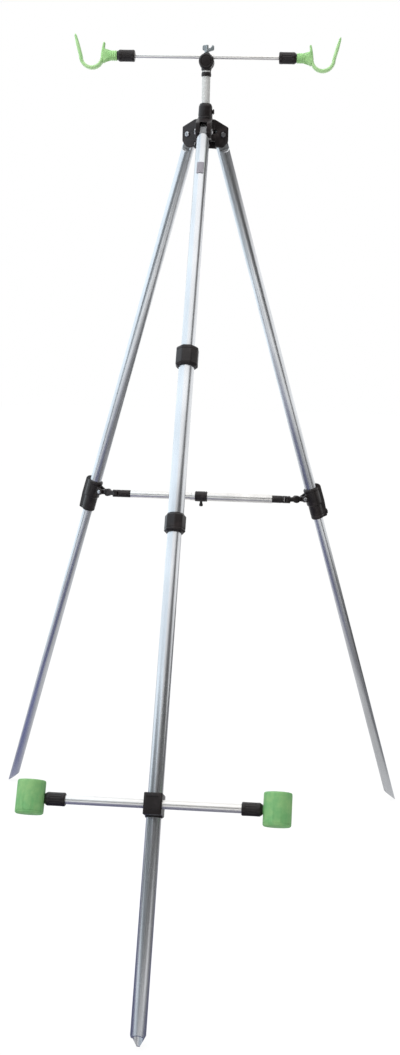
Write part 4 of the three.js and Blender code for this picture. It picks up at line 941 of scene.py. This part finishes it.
def brace_plug(word, side, bore):
    """The forked plug in the end of a brace tube, round the swivel pin."""
    body = turned(eased([
        (0, -6), (6, -6), (7, -5), (7, 9), (6.6, 9.5), (6.6, 10.5), (7, 11), (7, PLUG_SHOULDER),
        (bore - GAP, PLUG_SHOULDER), (bore - GAP, 45), (0, 45),
    ], 0.5))
    grooves = [moved(box((-0.9, 6.2, 13), (0.9, 9, 25)), turn(angle, "Z")) for angle in (0, 180)]
    body = moved(cut(body, *grooves), ALONG_X)
    body = cut(body, box((-15, -12, -4.4), (6, 12, 4.4)), rod(SWIVEL_HOLE, -20, 20, 0), edge=0.3)
    place = BRACE @ shift(x=side * SWIVEL_X) @ turn(180 if side > 0 else 0, "Z")
    piece(f"plug_{word}", body, place, BLACK, f"brace_plug_{word}")
    keep(f"brace_swivel_pin_{word}", STEEL)


def brace():
    """The two brace tubes, the collar on the outer tube's end and the screw that locks them."""
    end, outer_radius, groove = SWIVEL_X - PLUG_SHOULDER - GAP, OUTER_BORE + 1, OUTER_BORE + 0.7
    inner = pipe(INNER_BORE + 1, INNER_BORE, -end, 9, 0.3, MIDDLE)
    piece("brace_inner", inner, BRACE @ ALONG_X, BAR_SILVER, "brace_inner_tube")
    hole = rod(2.15, -30, 0, 0, 36)
    outer = moved(turned(closed_ring([
        (OUTER_BORE, -21), (outer_radius, -21), (outer_radius, -18.6), (groove, -18.2), (groove, -16.8),
        (outer_radius, -16.4), (outer_radius, end), (OUTER_BORE, end),
    ], 0.3), MIDDLE), ALONG_X)
    piece("brace_outer", cut(outer, hole), BRACE, BAR_SILVER, "brace_outer_tube")
    shell = moved(grip(faceted(9.7, 12, softness=60), -12, 12, 1.5), ALONG_X)
    bands = [moved(pipe(12, 9.3, x - 0.5, x + 0.5, 0), ALONG_X) for x in (-8, 8)]
    tube_hole = moved(rod(outer_radius + GAP, -40, 40, 0), ALONG_X)
    shell = cut(shell, tube_hole, hole, *bands, edge=0.25)
    piece("lock_collar", shell, BRACE, BLACK, "brace_lock_collar")
    neck = turned(eased([
        (0, -7.2), (2, -7.2), (2, -10.3), (2.5, -10.3), (2.5, -13.6), (0, -13.6),
    ], 0.2), SMALL)
    knob = moved(grip(fluted(3.5, 0.45, 8), 13.3, 18.8, 0.9, sides=LARGE, ease=0.4), turn(180, "X"))
    piece("lock_screw", joined(neck, knob), BRACE, BLACK, "brace_lock_screw")


# The whole stand

hub_spider()
for word, degrees in (("front", 0), ("left", -REAR_TURN), ("right", REAR_TURN)):
    pivot_screw(word, degrees)
column_lock()
column()
head()
wing_screw()
top_bar()

leg_plug("front", FRONT)
front_upper_tube(492)
front_mid_tube()
foot_tube("front", LEG, LEG_WALL, 642, FRONT_SPLAY, 1, 16, FRONT)
twist_collar("upper_twist_collar", MID_START, 1, 22.5, 17.7, 17, "front_collar_upper")
twist_collar("lower_twist_collar", MID_END, -1, 0, 15.6, 15, "front_collar_lower")
label_plate()
clamp()
lower_bar()
keep("front_upper_bush", BLACK)
keep("front_lower_bush", BLACK)

for word, knob_turn in (("left", -60), ("right", 0)):
    leg_plug(word, REAR[word])
    upper_tube(word, 708, REAR[word])
    foot_tube(word, LOWER, THIN_WALL, 628, REAR_SPLAY, -1, 30, REAR[word])
    leg_collar(word, knob_turn)
    keep(f"{word}_slide_bush", BLACK)

brace_link("left", -REAR_TURN, TIGHT_PIN_GAP)
brace_link("right", REAR_TURN, OPEN_PIN_GAP)
brace_plug("left", -1, INNER_BORE)
brace_plug("right", 1, OUTER_BORE)
brace()

# Studio

FLOOR_RADIUS = 12


def seen_by(finish):
    """What looks at the surroundings: the camera, gloss and glass, 1 for each ray that does."""
    path = finish.tree.nodes.new("ShaderNodeLightPath")
    return [Value(finish, path.outputs[f"Is {name} Ray"]) for name in ("Camera", "Glossy", "Transmission")]


def stage_piece(name, mesh, finish):
    mesh.materials.append(finish.material)
    made = bpy.data.objects.new(name, mesh)
    bpy.context.scene.collection.objects.link(made)
    return made


def floor():
    """A floor white to the camera, which the tubes mirror as dim near the feet and bright further off."""
    finish = Finish("pale_floor")
    camera, gloss, glass = seen_by(finish)
    where = finish.node("NewGeometry", output="Position")
    distance = finish.node("VectorMath", {"operation": "LENGTH"}, where, output=1)
    x, y, _ = finish.axes(where)
    in_front = finish.mix(x.part(-0.2, 0.5), (0.10, 0.11, 0.24, 1), (0.30, 0.30, 0.31, 1))
    under = finish.mix(x.part(-0.45, -0.1), (0.20, 0.22, 0.44, 1), (0.70, 0.70, 0.70, 1))
    below = finish.mix(y.part(-0.05, 0.2), in_front, under)
    behind = finish.mix(y.part(0.35, 0.6), below, (0.80, 0.80, 0.82, 1))
    near = finish.mix(x.part(0.45, 0.75), behind, (0.14, 0.14, 0.15, 1))
    further = finish.mix(x.part(0.45, 0.9), (0.90, 0.92, 0.98, 1), (0.34, 0.34, 0.36, 1))
    outer = finish.mix(distance.part(1.3, 2.4), further, (1.45, 1.45, 1.42, 1))
    mirrored = finish.mix(distance.part(0.65, 1.5), near, outer)
    seen = (camera + gloss + glass).at_most(1.0)
    tint = finish.mix(gloss, (1.06, 1.06, 1.06, 1), mirrored)
    lit = finish.node("BsdfDiffuse", None, Color=(0.88, 0.88, 0.88, 1))
    white = finish.node("Emission", None, Color=tint, Strength=1.0)
    finish.show(finish.node("MixShader", None, seen * (gloss * 0.15 + 0.85), lit, white))
    around = ring(FLOOR_RADIUS, 0, 64)
    mesh = bpy.data.meshes.new("floor")
    mesh.from_pydata(around, [], [tuple(range(len(around)))])
    stage_piece("floor", mesh, finish)


def mirrored_walls():
    """Walls that only gloss sees: bright low down and high up in front, dim between, cool at the left."""
    finish = Finish("mirrored_walls")
    x, y, z = finish.axes(finish.node("NewGeometry", output="Position"))
    left, right = (x * -1).part(0.3, 1.0), x.part(0.3, 1.0)
    low_front = (1 - z.part(0.3, 0.6)) * (1 - y.part(-1.4, -0.8)) * 1.3
    raised = z + y.part(-1.3, 0.0, -1.5, 0.0) + y.part(-3.0, -1.3, -0.85, 0.0)
    left_wall = raised.part(-0.1, 0.15, 0.10, 1.5) * z.part(-0.1, 0.4, 0.5, 1.0) + low_front
    window = z.part(0.4, 0.7) * (1 - z.part(1.5, 1.9)) * y.part(-0.6, -0.1)
    right_wall = (z + y.part(-2.6, -1.2, -0.7, 0.0)).part(2.3, 3.0, 0.08, 1.5) + window * 1.25 + low_front
    front_wall = z.part(2.3, 4.8, 0.08, 1.3) + (1 - z.part(0.5, 1.1)) * 1.35
    middle = front_wall * (1 - y.part(-0.2, 0.6)) + y.part(-0.2, 0.6) * 1.3
    level = left * left_wall + right * right_wall + (1 - left - right) * middle
    tint = finish.mix(left, (1, 1, 1, 1), (0.88, 0.98, 1.06, 1))
    finish.show(finish.node("Emission", None, Color=tint, Strength=level))
    around = [(px * 1.75, py * 3.0 - 1.2) for px, py, _ in ring(1, 0, LARGE)]
    mesh = bpy.data.meshes.new("mirrored_walls")
    corners = [(*point, height) for height in (0.001, 4.6) for point in around]
    faces = [(i, (i + 1) % LARGE, LARGE + (i + 1) % LARGE, LARGE + i) for i in range(LARGE)]
    mesh.from_pydata(corners, [], faces)
    walls = stage_piece("mirrored_walls", mesh, finish)
    walls.visible_camera = walls.visible_diffuse = walls.visible_transmission = walls.visible_shadow = False


def surroundings():
    """The world: white to the camera, bright in gloss and a soft light from above and the left."""
    world = bpy.data.worlds.new("studio")
    bpy.context.scene.world = world
    world.use_nodes = True
    finish = Finish("world", world.node_tree)
    camera, gloss, glass = seen_by(finish)
    x, _, z = finish.axes(finish.node("TexCoord", output="Generated"))
    soft = z.part(-0.1, 0.9, 0.2, 1.1) * (x * -1).part(-0.6, 0.7, 0.6, 1.2)
    rest = (1 - camera - glass - gloss).at_least(0.0)
    strength = camera + glass + gloss * 1.5 + rest * soft
    finish.show(finish.node("Background", None, Color=(1, 1, 1, 1), Strength=strength))


def panel(name, place, target, width, height, level, tint=(1, 1, 1)):
    """A soft panel lamp whose face is as bright as the level says."""
    data = bpy.data.lights.new(name, "AREA")
    data.shape, data.size, data.size_y = "RECTANGLE", width, height
    data.energy, data.color = level * math.pi * width * height, tint
    made = bpy.data.objects.new(name, data)
    bpy.context.scene.collection.objects.link(made)
    made.visible_glossy = False
    made.location = place
    made.rotation_euler = (Vector(target) - Vector(place)).to_track_quat("-Z", "Y").to_euler()


def photo_camera(place, yaw, pitch, roll, lens, shift_x, shift_y):
    """The camera, fitted to points of the photographed stand: turned, tipped down and rolled by degrees."""
    data = bpy.data.cameras.new("camera")
    data.sensor_width, data.lens, data.shift_x, data.shift_y = 36, lens, shift_x, shift_y
    data.clip_start, data.clip_end = 0.05, 60
    yaw, pitch, roll = (math.radians(degrees) for degrees in (yaw, pitch, roll))
    ahead = Vector((math.sin(yaw) * math.cos(pitch), math.cos(yaw) * math.cos(pitch), -math.sin(pitch)))
    right = Vector((math.cos(yaw), -math.sin(yaw), 0))
    up = right.cross(ahead)
    across = right * math.cos(roll) + up * math.sin(roll)
    upward = up * math.cos(roll) - right * math.sin(roll)
    made = bpy.data.objects.new("camera", data)
    bpy.context.scene.collection.objects.link(made)
    made.matrix_world = Matrix.Translation(place) @ Matrix((across, upward, -ahead)).transposed().to_4x4()
    return made


floor()
mirrored_walls()
surroundings()
stand_middle = (0, 0.1, 1.1)
panel("left_panel", (-1.5, -0.5, 1.75), stand_middle, 1.1, 1.3, 2.0, (0.95, 0.98, 1))
panel("top_panel", (-0.3, -0.7, 2.9), stand_middle, 1.3, 1.3, 3.2)
panel("right_fill", (2.4, -1.6, 1.3), (0, 0, 0.8), 1.2, 1.6, 0.6)

bpy.context.scene.camera = photo_camera(
    place=(0.1973, -2.192 + HUB.translation.y * MM, 0.975), yaw=-3.464, pitch=11.19, roll=1.626,
    lens=41.304, shift_x=-0.0285, shift_y=0.0336,
)
bpy.context.scene.view_settings.view_transform = "Standard"
